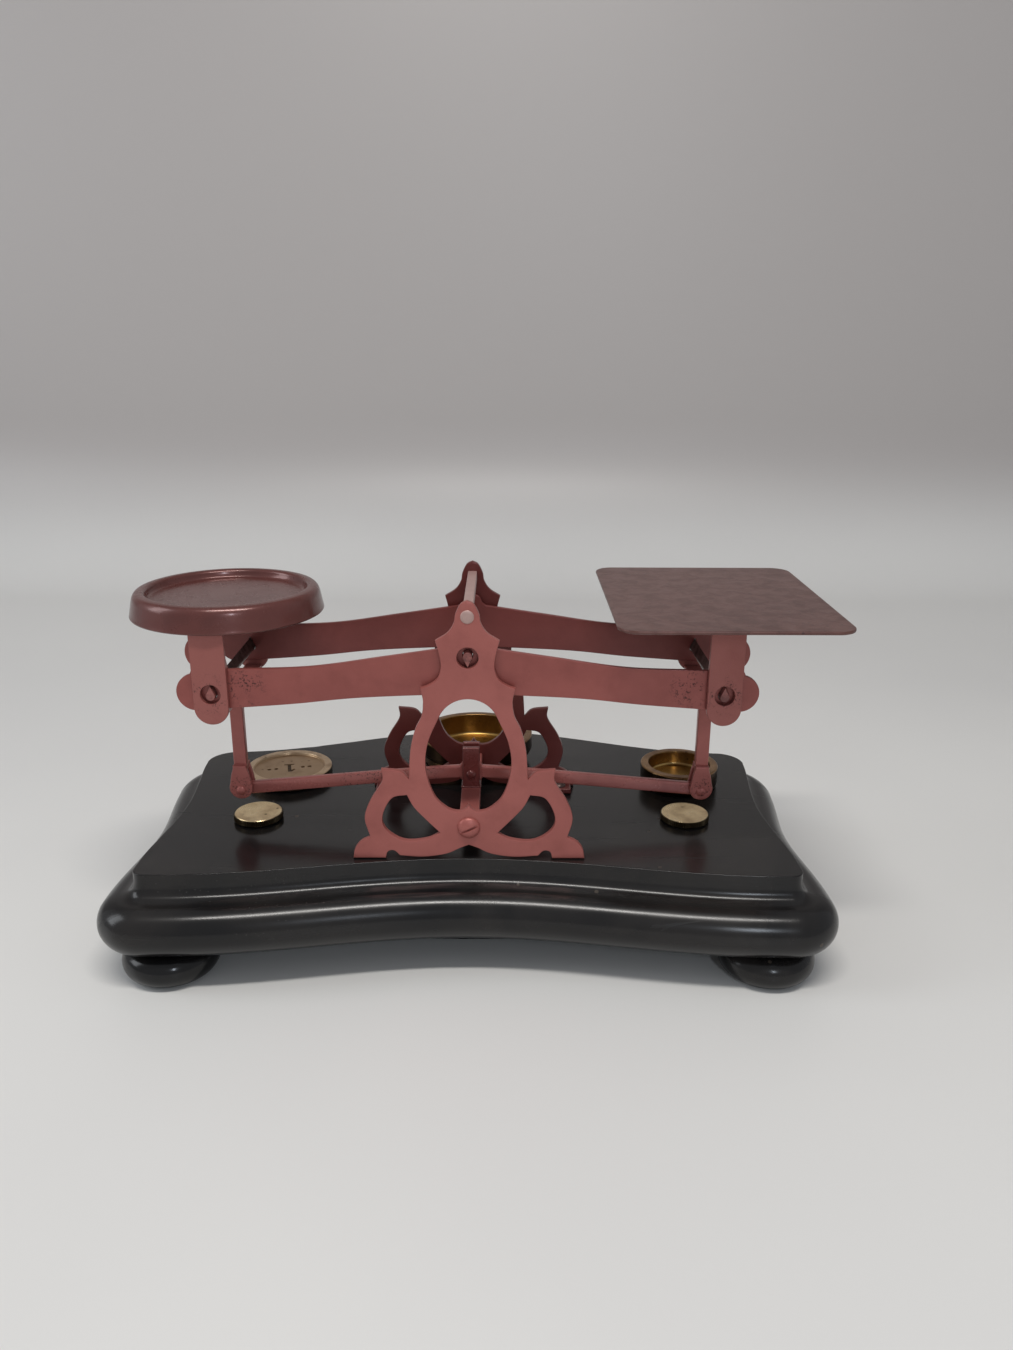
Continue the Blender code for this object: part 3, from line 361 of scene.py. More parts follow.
# A darker copy of the beam paint: painted shade on the rear beam plate.
REAR_BEAM_SHADED_PAINT = copper_paint("rear_beam_painted_shade_paint", (0.19, 0.046, 0.040), (0.12, 0.027, 0.023),
                               0.36, BEAM_PITS)
PAN_PAINT = copper_paint("pan_copper_gloss_paint", (0.125, 0.037, 0.031), (0.075, 0.022, 0.019),
                         0.26, peel=0.16, coat=0.25, worn=0.3)
PLATE_PAINT = wrinkled_paint("plate_wrinkled_paint", (0.135, 0.060, 0.050), (0.085, 0.036, 0.031), 0.36)
LACQUER = black_lacquer("black_lacquer")
STEEL = dark_steel("screw_steel")
KNIFE_STEEL = dark_steel("knife_steel", 27.2 * MM)
ENGRAVED = engraved_brass("engraved_brass")


# ---- outlines

def even(start, end, steps):
    return [start + (end - start) * step / steps for step in range(steps + 1)]


def arc(centre, radius, start, end, steps):
    """Points on an arc, by its angles in degrees."""
    x, y = centre
    return [(x + radius * math.cos(math.radians(angle)), y + radius * math.sin(math.radians(angle)))
            for angle in even(start, end, steps)]


def circle(centre, radius, steps=40):
    return arc(centre, radius, 0, 360 - 360 / steps, steps - 1)


def smooth(points, steps=8):
    """A curve through a few points, as a Catmull-Rom spline with free ends."""
    first = tuple(2 * a - b for a, b in zip(points[0], points[1]))
    last = tuple(2 * a - b for a, b in zip(points[-1], points[-2]))
    knots = [first] + list(points) + [last]
    curve = []
    for before, start, end, after in zip(knots, knots[1:], knots[2:], knots[3:]):
        for step in range(steps):
            t = step / steps
            curve.append(tuple(
                0.5 * (2 * b + (c - a) * t + (2 * a - 5 * b + 4 * c - d) * t * t
                       + (3 * b - a - 3 * c + d) * t ** 3)
                for a, b, c, d in zip(before, start, end, after)))
    curve.append(tuple(points[-1]))
    return curve


SAME_POINT = 0.02 * MM


def chain(*runs):
    """Runs of points end to end, as one closed outline without doubled points."""
    points = []
    for run in runs:
        for point in run:
            if not points or math.dist(points[-1], point) > SAME_POINT:
                points.append(point)
    if math.dist(points[0], points[-1]) < SAME_POINT:
        points.pop()
    return points


def mirrored(half):
    return chain(half, [(-x, z) for x, z in reversed(half)])


def in_mm(points):
    return [(x * MM, z * MM) for x, z in points]


def beside(x, z, *steps):
    """Points at steps in millimetres from a corner."""
    return [(x + a * MM, z + b * MM) for a, b in steps]


def teardrop(apex_up, grow=0.0):
    """A knife's section, its edge at the origin: a round back that two flats run out from."""
    centre = KNIFE_HEIGHT - KNIFE_BACK_RADIUS
    half_angle = math.asin(KNIFE_BACK_RADIUS / centre)
    tilt = math.degrees(half_angle)
    points = [(0.0, grow / math.sin(half_angle))]
    points += arc((0.0, -centre), KNIFE_BACK_RADIUS + grow, tilt, -180 - tilt, 18)
    return points if apex_up else [(x, -z) for x, z in points]


# ---- solids

ALONG_Y = Matrix(((1, 0, 0, 0), (0, 0, -1, 0), (0, 1, 0, 0), (0, 0, 0, 1)))
ALONG_X = Matrix(((0, 0, 1, 0), (1, 0, 0, 0), (0, 1, 0, 0), (0, 0, 0, 1)))
ALONG_Z = Matrix.Identity(4)
WELD = 0.004 * MM


def scratch_object(name, data):
    thing = bpy.data.objects.new(name, data)
    bpy.context.scene.collection.objects.link(thing)
    return thing


def baked(thing):
    """The evaluated mesh of a scratch object, which is then removed."""
    depsgraph = bpy.context.evaluated_depsgraph_get()
    mesh = bpy.data.meshes.new_from_object(thing.evaluated_get(depsgraph))
    bpy.data.objects.remove(thing, do_unlink=True)
    return mesh


def solid_from(thing, centre, turn):
    """A scratch object's mesh, welded and put in place."""
    bm = bmesh.new()
    bm.from_mesh(baked(thing))
    bmesh.ops.remove_doubles(bm, verts=bm.verts, dist=WELD)
    bmesh.ops.transform(bm, matrix=Matrix.Translation(centre) @ turn, verts=bm.verts)
    bmesh.ops.recalc_face_normals(bm, faces=bm.faces)
    return bm


def sheet(loops, thickness, centre, turn=ALONG_Y, edge=0.3 * MM):
    """A flat outline with openings, cut from sheet, its edges rounded over."""
    curve = bpy.data.curves.new("outline", "CURVE")
    curve.dimensions = "2D"
    curve.fill_mode = "BOTH"
    curve.extrude = thickness / 2 - edge
    curve.bevel_depth = edge
    curve.bevel_resolution = 1
    curve.offset = -edge
    for loop in loops:
        spline = curve.splines.new("POLY")
        spline.points.add(len(loop) - 1)
        for point, (a, b) in zip(spline.points, loop):
            point.co = (a, b, 0.0, 1.0)
        spline.use_cyclic_u = True
    return solid_from(scratch_object("outline", curve), centre, turn)


def lathe(profile, centre, steps=96, turn=ALONG_Z):
    """A turned solid: its profile runs from the top of the axis, down the outside."""
    mesh = bpy.data.meshes.new("profile")
    mesh.from_pydata([(radius, 0.0, height) for radius, height in profile],
                     [(i, i + 1) for i in range(len(profile) - 1)], [])
    thing = scratch_object("profile", mesh)
    screw = thing.modifiers.new("turn", "SCREW")
    screw.steps = steps
    screw.render_steps = steps
    screw.use_merge_vertices = True
    screw.merge_threshold = 0.00001
    return solid_from(thing, centre, turn)


def block(low, high, edge=0.25 * MM):
    """A bar with rounded edges."""
    low, high = Vector(low), Vector(high)
    bm = bmesh.new()
    size = Matrix.Diagonal((*(high - low), 1.0))
    bmesh.ops.create_cube(bm, size=1.0, matrix=Matrix.Translation((low + high) / 2) @ size)
    bmesh.ops.bevel(bm, geom=list(bm.edges), offset=edge, segments=3, profile=0.5, affect="EDGES")
    bmesh.ops.recalc_face_normals(bm, faces=bm.faces)
    return bm


def bar(x, half_x, half_y, low, high, edge):
    """A rounded bar centred on the mechanism's plane, by its heights."""
    return block((x - half_x, MID_Y - half_y, low), (x + half_x, MID_Y + half_y, high), edge)


def joined(*parts):
    """Several solids in one mesh."""
    whole = bmesh.new()
    for part in parts:
        mesh = bpy.data.meshes.new("part")
        part.to_mesh(mesh)
        part.free()
        whole.from_mesh(mesh)
        bpy.data.meshes.remove(mesh)
    return whole


def piece(name, bm, body, materials, nodes, sharp=38.0, flat_faces=True):
    """Finish a mesh as a named piece that rides on a body and stands for its CAD nodes."""
    mesh = bpy.data.meshes.new(name)
    bm.to_mesh(mesh)
    bm.free()
    thing = scratch_object(name, mesh)
    for material in materials if isinstance(materials, (list, tuple)) else [materials]:
        mesh.materials.append(material)
    mesh.shade_smooth()
    mesh.set_sharp_from_angle(angle=math.radians(sharp))
    if flat_faces:
        weighted = thing.modifiers.new("flat_faces", "WEIGHTED_NORMAL")
        weighted.keep_sharp = True
        weighted.weight = 90
    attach(thing, body)
    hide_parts(*nodes)
    return thing


# ---- repeated fittings

class Tree:
    """A Geometry Nodes tree that puts a fitting on each point, from named sizes."""

    KINDS = {"Tilt": "NodeSocketVector", "Seed": "NodeSocketInt", "Ribs": "NodeSocketInt"}

    def __init__(self, name, *sizes):
        self.tree = bpy.data.node_groups.new(name, "GeometryNodeTree")
        sockets = self.tree.interface
        sockets.new_socket("Geometry", in_out="INPUT", socket_type="NodeSocketGeometry")
        for size in sizes:
            sockets.new_socket(size, in_out="INPUT", socket_type=self.KINDS.get(size, "NodeSocketFloat"))
        sockets.new_socket("Geometry", in_out="OUTPUT", socket_type="NodeSocketGeometry")
        self.given = self.tree.nodes.new("NodeGroupInput").outputs

    def add(self, kind, inputs=None, out=0, **settings):
        """A new node's output; an input takes a value, a socket or a list of sockets."""
        node = self.tree.nodes.new(kind)
        for key, value in settings.items():
            setattr(node, key, value)
        for key, value in (inputs or {}).items():
            for item in value if isinstance(value, list) else [value]:
                if isinstance(item, bpy.types.NodeSocket):
                    self.tree.links.new(item, node.inputs[key])
                else:
                    node.inputs[key].default_value = item
        return node.outputs[out]

    def math(self, operation, first, second):
        return self.add("ShaderNodeMath", {0: first, 1: second}, operation=operation)

    def vector(self, x=0.0, y=0.0, z=0.0):
        return self.add("ShaderNodeCombineXYZ", {0: x, 1: y, 2: z})

    def cube(self, size, height=0.0):
        """A box whose middle is at a height."""
        box = self.add("GeometryNodeMeshCube", {"Size": size})
        return self.add("GeometryNodeTransform", {"Geometry": box, "Translation": self.vector(z=height)})

    def dome(self, segments):
        """A ball squashed to the head's height."""
        radius = self.given["Head Radius"]
        ball = self.add("GeometryNodeMeshUVSphere",
                        {"Segments": segments, "Rings": segments // 2, "Radius": radius})
        flat = self.math("DIVIDE", self.given["Head Height"], radius)
        return self.add("GeometryNodeTransform", {"Geometry": ball, "Scale": self.vector(1.0, 1.0, flat)})

    def on_points(self, fitting, **inputs):
        points = self.add("GeometryNodeMeshToPoints", {"Mesh": self.given["Geometry"]})
        return self.add("GeometryNodeInstanceOnPoints", {"Points": points, "Instance": fitting, **inputs})

    def turned_heads(self, head, most, turn=0.0):
        """A head on each point, tilted to its face and turned about its own axis."""
        heads = self.on_points(head, Rotation=self.given["Tilt"])
        chance = self.add("FunctionNodeRandomValue", {"Min": 0.0, "Max": most, "Seed": self.given["Seed"]}, 1,
                          data_type="FLOAT")
        spin = self.vector(z=self.math("ADD", turn, chance))
        return self.add("GeometryNodeRotateInstances",
                        {"Instances": heads, "Rotation": spin, "Local Space": True})

    def end(self, geometry, material):
        """Realize, paint and hand out."""
        real = self.add("GeometryNodeRealizeInstances", {0: geometry})
        coat = self.add("GeometryNodeSetMaterial", {"Geometry": real, "Material": material})
        out = self.tree.nodes.new("NodeGroupOutput")
        self.tree.links.new(self.add("GeometryNodeSetShadeSmooth", {0: coat}), out.inputs[0])
        return self.tree


def grown(name, tree, places, sizes):
    """The mesh that a tree makes on a set of places."""
    mesh = bpy.data.meshes.new(name)
    mesh.from_pydata([tuple(place) for place in places], [], [])
    thing = scratch_object(name, mesh)
    modifier = thing.modifiers.new(name, "NODES")
    modifier.node_group = tree
    for item in tree.interface.items_tree:
        if item.in_out == "INPUT" and item.name in sizes:
            modifier[item.identifier] = sizes[item.name]
    return baked(thing)


def screw_tree(material):
    """Round heads with a sawn slot."""
    t = Tree("slotted_screws", "Head Radius", "Head Height", "Slot Width", "Tilt", "Turn", "Seed")
    height = t.given["Head Height"]
    wide = t.math("MULTIPLY", t.given["Head Radius"], 4.0)
    under = t.cube(t.vector(wide, wide, wide), t.math("MULTIPLY", wide, -0.5))
    slot = t.cube(t.vector(wide, t.given["Slot Width"], height), t.math("MULTIPLY", height, 0.98))
    head = t.add("GeometryNodeMeshBoolean", {"Mesh 1": t.dome(48), "Mesh 2": [under, slot]},
                 operation="DIFFERENCE")
    return t.end(t.turned_heads(head, 3.14, t.given["Turn"]), material)


def rivet_tree(material):
    """Peened heads: low domes, beaten a little out of round."""
    t = Tree("peened_rivets", "Head Radius", "Head Height", "Tilt", "Seed")
    dents = t.add("ShaderNodeTexNoise", {"Scale": 900.0, "Detail": 1.0})
    half_height = t.math("MULTIPLY", t.given["Head Height"], 0.5)
    depth = t.math("MULTIPLY", t.math("SUBTRACT", dents, 0.5), half_height)
    head = t.add("GeometryNodeSetPosition", {"Geometry": t.dome(32), "Offset": t.vector(depth, depth)})
    return t.end(t.turned_heads(head, 6.28), material)


def serration_tree(material):
    """Fine square ribs, a corner outwards, on a circle about each point."""
    t = Tree("coin_serrations", "Radius", "Thickness", "Rib Width", "Ribs")
    width = t.given["Rib Width"]
    ring = t.add("GeometryNodeMeshCircle", {"Vertices": t.given["Ribs"], "Radius": t.given["Radius"]},
                 fill_type="NONE")
    rib = t.cube(t.vector(width, width, t.given["Thickness"]))
    place = t.add("GeometryNodeInputPosition")
    x, y = (t.add("ShaderNodeSeparateXYZ", {0: place}, axis) for axis in (0, 1))
    corner = t.math("ADD", t.math("ARCTAN2", y, x), math.pi / 4)
    points = t.add("GeometryNodeMeshToPoints", {"Mesh": ring})
    ribs = t.add("GeometryNodeInstanceOnPoints",
                 {"Points": points, "Instance": rib, "Rotation": t.vector(z=corner)})
    return t.end(t.on_points(ribs), material)


# ---- board and feet

def raised_cosine(offset, half_width):
    return 0.5 * (1 + math.cos(math.pi * min(abs(offset) / half_width, 1.0)))


MOULDING = 13.5 * MM
TOP_HALF_LENGTH = BOARD_HIGH.x - MOULDING
FRONT_CORNER_Y = BOARD_LOW.y + MOULDING
BACK_BOW = 26 * MM
BACK_CORNER_Y = BOARD_HIGH.y - MOULDING - BACK_BOW
BOARD_THICKNESS = BOARD_HIGH.z - BOARD_LOW.z


def board_plan():
    """The flat top's outline: a hollow front, hollow sides and a bowed back."""
    length, front, back = TOP_HALF_LENGTH, FRONT_CORNER_Y, BACK_CORNER_Y
    near, far = 4.5 * MM, 11 * MM
    middle, half_side = (front + back) / 2, (back - front) / 2
    wave, side_wave = 0.94 * length, 0.89 * half_side
    front_x, back_x = length - near, length - far
    side = [(length - 4 * MM * raised_cosine(y - middle, side_wave), y)
            for y in even(front + near, back - far, 40)]
    points = [(x, front + 12 * MM * raised_cosine(x, wave)) for x in even(-front_x, front_x, 90)]
    points += arc((front_x, front + near), near, -90, 0, 14) + side
    points += arc((back_x, back - far), far, 0, 90, 18)
    points += [(x, back + BACK_BOW * raised_cosine(x, wave)) for x in even(back_x, -back_x, 100)]
    points += arc((-back_x, back - far), far, 90, 180, 18) + [(-x, y) for x, y in reversed(side)]
    return chain(points + arc((-front_x, front + near), near, 180, 270, 14))


def board_profile():
    """The moulded edge, as how far it stands out and how far it is below the top.

    A thin lip stands over a tight cove, which sweeps out into a broad bullnose.
    """
    lip, bull = 1.5 * MM, 9.2 * MM
    bull_out, bull_drop = MOULDING - bull, BOARD_THICKNESS - bull
    bullnose = arc((bull_out, -bull_drop), bull, 76, -86, 36)
    cove = in_mm([(0.15, -4.2), (0.75, -6.4), (2.1, -7.95), (4.3, -8.9)])
    steps = [(-2.5 * MM, 0.0), (-0.9 * MM, 0.0)]
    steps += arc((-0.35 * MM, -0.35 * MM), 0.35 * MM, 90, 0, 4)
    steps += [(0.0, 0.2 * MM - lip)]
    steps += smooth([(0.0, -lip)] + cove + [bullnose[0]], 6)[:-1] + bullnose
    steps += [(bull_out - 3 * MM, -BOARD_THICKNESS), (bull_out - 10 * MM, -BOARD_THICKNESS)]
    return steps


def make_board():
    plan = board_plan()
    count = len(plan)
    normals = [Vector((by - ay, ax - bx)).normalized()
               for (ax, ay), (bx, by) in zip(plan[-1:] + plan, plan[1:] + plan[:1])]
    bm = bmesh.new()
    rings = []
    for out, drop in board_profile():
        ring = []
        for (x, y), n in zip(plan, normals):
            chip = math.sin(x * 310 + y * 170) * math.sin(x * 97 - y * 211) * math.sin(x * 53 + y * 41)
            worn = 0.16 * MM * max(0.0, chip - 0.35) if -1.2 * MM < out < 0.2 * MM else 0.0
            sag = worn if drop > -1.0 * MM else 0.0
            reach = out - worn
            ring.append(bm.verts.new((x + n.x * reach, y + n.y * reach, BOARD_TOP + drop - sag)))
        rings.append(ring)
    bm.faces.new(rings[0])
    bm.faces.new(reversed(rings[-1]))
    for upper, lower in zip(rings, rings[1:]):
        for i in range(count):
            j = (i + 1) % count
            bm.faces.new((upper[i], lower[i], lower[j], upper[j]))
    bmesh.ops.triangulate(bm, faces=[f for f in bm.faces if len(f.verts) > 4])
    bmesh.ops.recalc_face_normals(bm, faces=bm.faces)
    piece("moulded_board", bm, "stand", LACQUER, ["base_board"], sharp=48)


def make_feet():
    for row in ("front", "back"):
        for side in ("left", "right"):
            node = f"bun_foot_{row}_{side}"
            centre = Vector((*box_centre(node).xy, 0.0))
            radius = box_size(node).x / 2
            height = BOARD_LOW.z - 0.3 * MM
            belly = height / 2
            profile = [(0, height), (radius - belly - 1.5 * MM, height)]
            profile += arc((radius - belly, belly), belly, 82, -76, 22)
            profile += [(radius - belly - 0.5 * MM, 0.15 * MM), (radius - belly - 1.2 * MM, 0), (0, 0)]
            piece(f"turned_{node}", lathe(profile, centre, 72), "stand", LACQUER, [node])


# ---- stand

def frame_outline():
    finial = [(0, 93), (2.2, 91.8), (3.9, 88.4), (4.5, 85.3), (6.6, 82.1), (10.6, 79.5)]
    neck = [(10.6, 79.5), (9.5, 75.1), (8.9, 70.6), (10.2, 66.3), (13.2, 64.0), (15.9, 63.0)]
    flank = [(15.9, 63.0), (15.0, 58.2), (15.7, 52.9), (17.9, 48.2), (19.7, 40.5), (20.4, 30.2)]
    scroll = [(20.4, 30.2), (23.4, 33.0), (29.8, 33.8)]
    shoulder = [(29.8, 33.8), (29.7, 29.2), (34.0, 21.9), (36.1, 15.4), (34.4, 8.2)]
    foot = [(34.4, 8.2), (37.7, 6.4), (39.9, 3.6), (40.6, 0)]
    notch = [(29.2, 0), (28.4, 2.5), (26.2, 2.9), (24.2, 1.0)]
    bow = [(24.2, 1.0), (16.0, 0.5), (8.0, 1.7), (3.0, 4.0), (0, 5.2)]
    runs = (finial, neck, flank, scroll, shoulder, foot, notch, bow)
    return mirrored(chain(*[smooth(in_mm(run), 7) for run in runs]))


def oval_outline():
    """Round-headed, and brought to a small cusp at the bottom."""
    head = arc((0, 48.6), 10.6, 90, 24, 12)
    side = [head[-1], (13.6, 43.5), (14.6, 34.0), (11.9, 24.2), (7.6, 19.4), (3.6, 18.0),
            (1.2, 18.9), (0, 20.6)]
    return mirrored(in_mm(head[:-1]) + smooth(in_mm(side), 8))


def window_outline():
    """The tear-shaped opening in the right scroll."""
    inner = smooth(in_mm([(10.0, 9.8), (14.8, 14.8), (18.9, 19.5), (21.3, 24.2)]), 6)
    outer = smooth(in_mm([(21.3, 24.2), (26.6, 22.8), (29.9, 16.0), (28.6, 10.8), (22.6, 6.9),
                          (14.8, 7.4), (10.0, 9.8)]), 8)
    return chain(inner, outer)


def bent_tab(x, y_face, sy):
    """A foot tab: the sheet turned inwards on a small bend."""
    inside = y_face - sy * FRAME_SHEET
    reach = inside - sy * 8 * MM
    low, high = sorted((reach, y_face - sy * 0.5 * FRAME_SHEET))
    half = 4.5 * MM
    return block((x - half, low, STAND_Z), (x + half, high, STAND_Z + FRAME_SHEET), 0.5 * MM)


def make_frames():
    window = window_outline()
    for node, sy in (("front_frame", -1), ("rear_frame", 1)):
        loops = [frame_outline(), oval_outline(), window, [(-x, z) for x, z in reversed(window)],
                 circle((0, PIVOT_Z - STAND_Z), BEARING_RADIUS)]
        y_face = MID_Y + sy * FRAME_OUTER
        centre = Vector((0, y_face - sy * FRAME_SHEET / 2, STAND_Z))
        plate = sheet(loops, FRAME_SHEET, centre, edge=0.35 * MM)
        tabs = [bent_tab(x, y_face, sy) for x in (-FRAME_FOOT_X, FRAME_FOOT_X)]
        # The rear frame takes the darker paint, as painted shade.
        paint = FRAME_PAINT if sy < 0 else REAR_FRAME_SHADED_PAINT
        piece(f"pierced_{node}", joined(plate, *tabs), "stand", paint, [node])


def screws(name, material, nodes, places, sizes):
    """One piece with a slotted head on each place."""
    bm = bmesh.new()
    bm.from_mesh(grown(name, screw_tree(material), places, sizes))
    piece(name, bm, "stand", material, nodes, 30)


def make_stand_screws():
    """Two painted screws in the cross bar's ends, and a steel one in each foot tab."""
    for node, sy in (("cross_bar_screw_front", -1), ("cross_bar_screw_rear", 1)):
        face = Vector((0, MID_Y + sy * (FRAME_OUTER + 0.05 * MM), CROSS_BAR.z))
        screws(f"slotted_{node}", FRAME_PAINT, [node], [face],
               {"Head Radius": 4.0 * MM, "Head Height": 1.95 * MM, "Slot Width": 0.95 * MM,
                "Tilt": (-sy * math.pi / 2, 0.0, 0.0), "Turn": 0.75, "Seed": 3})
    nodes = [f"frame_foot_screw_{row}_{side}" for row in ("front", "rear") for side in ("left", "right")]
    places = [Vector((*box_centre(node).xy, STAND_Z + FRAME_SHEET)) for node in nodes]
    screws("slotted_foot_screws", STEEL, nodes, places,
           {"Head Radius": 2.5 * MM, "Head Height": 1.4 * MM, "Slot Width": 0.6 * MM,
            "Tilt": (0.0, 0.0, 0.0), "Turn": 0.0, "Seed": 11})


def rivets(bm, tree, place, reach, radius, height, seed):
    """A peened head on each side of the mechanism's plane, added to a solid."""
    for sy in (-1, 1):
        head = grown("rivet_heads", tree, [place + Vector((0, sy * reach, 0))],
                     {"Head Radius": radius, "Head Height": height,
                      "Tilt": (-sy * math.pi / 2, 0, 0), "Seed": seed})
        bm.from_mesh(head)
    return bm


def shank(place, half):
    """A plain pin across the mechanism."""
    profile = [(0, half), (PIN_RADIUS, half), (PIN_RADIUS, -half), (0, -half)]
    return lathe(profile, place, 32, ALONG_Y)


def make_spacer(tree):
    half = 1.7 * MM
    spacer = bar(SPACER.x, half, FRAME_OUTER - FRAME_SHEET, SPACER.z - half, SPACER.z + half, 0.35 * MM)
    rivets(spacer, tree, SPACER, FRAME_OUTER, 2.3 * MM, 0.55 * MM, 5)
    piece("finial_spacer_bar", spacer, "stand", SPACER_SHEEN_PAINT, ["top_spacer"])


def make_cross_bar(tree):
    low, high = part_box("cross_bar")
    cross = bar(0.0, high[0], FRAME_OUTER - FRAME_SHEET, low[2], high[2], 0.5 * MM)
    piece("stay_cross_bar", cross, "stand", FRAME_PAINT, ["cross_bar"])
    low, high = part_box("stay_post")
    prongs = []
    for sy in (-1, 1):
        ends = sorted((sy * SLOT_HALF, sy * (high[1] - MID_Y)))
        prongs.append(block((low[0], MID_Y + ends[0], CROSS_BAR.z),
                            (high[0], MID_Y + ends[1], high[2]), 0.4 * MM))
    root = block((low[0] - 0.5 * MM, low[1] - 0.6 * MM, CROSS_BAR.z),
                 (high[0] + 0.5 * MM, high[1] + 0.6 * MM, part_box("cross_bar")[1][2] + 0.5 * MM), 0.3 * MM)
    piece("stay_clevis_post", joined(*prongs, root), "stand", POST_SHADED_PAINT, ["stay_post"])
    pin = rivets(shank(STAY_PIN, 3.6 * MM), tree, Vector((0, MID_Y, STAY_PIN.z)),
                 high[1] - MID_Y, PIN_HEAD_RADIUS, 0.85 * MM, 7)
    piece("stay_pin", pin, "stand", POST_SHADED_PAINT, ["stay_pivot_pin"])


# ---- beam

def beam_outline():
    """A gull-winged plate: heights are from the centre knife's edge."""
    drop = END_HOLE_Z - CENTRE_KNIFE.z
    lobe = 6.5 * MM
    hump = in_mm([(0, 10.6), (2.6, 9.6), (3.8, 7.2), (5.2, 6.1)])
    top = [hump[-1], (0.33 * ARM, 2.6 * MM), (0.62 * ARM, -0.9 * MM),
           (ARM - lobe + 0.9 * MM, drop + 8.2 * MM)]
    upper = arc((ARM + 1.5 * MM, drop + 14 * MM), lobe, 190, -48, 30)
    outer = arc((ARM + 5.6 * MM, drop), lobe, 76, -90, 22)
    lower = [(ARM + 5.6 * MM, drop - lobe), (0.7 * ARM, drop - 4.2 * MM),
             (0.42 * ARM, drop - 1.8 * MM), (0, drop - 0.2 * MM)]
    return mirrored(chain(smooth(hump, 6), smooth(top, 9), upper, outer, smooth(lower, 9)))


def make_beam():
    edge_rise = END_EDGE_Z - CENTRE_KNIFE.z
    knives = {"centre_knife_bar": (0, 0, False), "left_knife_bar": (-ARM, edge_rise, True),
              "right_knife_bar": (ARM, edge_rise, True)}
    loops = [beam_outline()]
    for x, z, apex_up in knives.values():
        loops.append([(x + a, z + b) for a, b in teardrop(apex_up, 0.12 * MM)])
    for node in ("beam_plate_front", "beam_plate_rear"):
        centre = Vector((0, box_centre(node).y, CENTRE_KNIFE.z))
        # The rear plate takes the darker paint, as painted shade.
        paint = BEAM_PAINT if node.endswith("front") else REAR_BEAM_SHADED_PAINT
        piece(f"gull_wing_{node}", sheet(loops, BEAM_SHEET, centre, edge=0.35 * MM), "beam", paint, [node])
    for node, (x, z, apex_up) in knives.items():
        section = teardrop(apex_up)
        centre = Vector((x, MID_Y, CENTRE_KNIFE.z + z))
        piece(f"ground_{node}", sheet([section], box_size(node).y, centre, edge=0.22 * MM), "beam",
              KNIFE_STEEL, [node], 30)


# ---- carriers

CROWN_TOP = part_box("right_stirrup")[1][2]
LEG_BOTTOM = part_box("right_stirrup")[0][2]
LEG_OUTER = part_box("right_stirrup")[1][1] - MID_Y
STRIP = 1.8 * MM


def make_stirrup(side, sx):
    """A strip bent into a crown and two round-ended legs, with an oversize hole in each leg."""
    node = f"{side}_stirrup"
    bend = 3.2 * MM
    straight = CROWN_TOP - bend
    half = 5.8 * MM
    hole_z = END_HOLE_Z - straight
    round_z = LEG_BOTTOM + half - straight
    face = chain([(half, 0), (half, round_z)], arc((0, round_z), half, 0, -180, 28), [(-half, 0)])
    parts = []
    for sy in (-1, 1):
        centre = (sx * ARM, MID_Y + sy * (LEG_OUTER - STRIP / 2), straight)
        parts.append(sheet([face, circle((0, hole_z), LEG_HOLE_RADIUS)], STRIP, centre, edge=0.35 * MM))
    middle = LEG_OUTER - bend
    outside = [(LEG_OUTER, -0.6 * MM)] + arc((middle, 0), bend, 0, 90, 14)
    inside = arc((middle, 0), bend - STRIP, 90, 0, 14) + [(LEG_OUTER - STRIP, -0.6 * MM)]
    loop = chain(outside, [(-y, z) for y, z in reversed(outside)],
                 [(-y, z) for y, z in reversed(inside)], inside)
    parts.append(sheet([loop], 2 * half, (sx * ARM, MID_Y, straight), ALONG_X, 0.35 * MM))
    low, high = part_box(f"{side}_bridge")
    piece(f"bent_{node}", joined(*parts), f"{side}_carrier", LEG_PAINT, [node])
    strip = block((low[0], low[1] - 0.3 * MM, low[2]), (high[0], high[1] + 0.3 * MM, high[2]), 0.4 * MM)
    piece(f"{side}_bridge_strip", strip, f"{side}_carrier", LEG_PAINT, [f"{side}_bridge"])


def ear_outline():
    """The fork's ear: square shoulders at the joggle, a waist, then a round eye."""
    radius, rise = 4.3 * MM, 0.9 * MM
    eye = arc((0, rise), radius, 24, -90, 16)
    side = smooth([(2.55 * MM, 9.9 * MM), (2.6 * MM, 8.6 * MM), (3.3 * MM, 6.2 * MM), eye[0]], 6)
    return mirrored(chain([(0, 9.9 * MM)], side, eye))


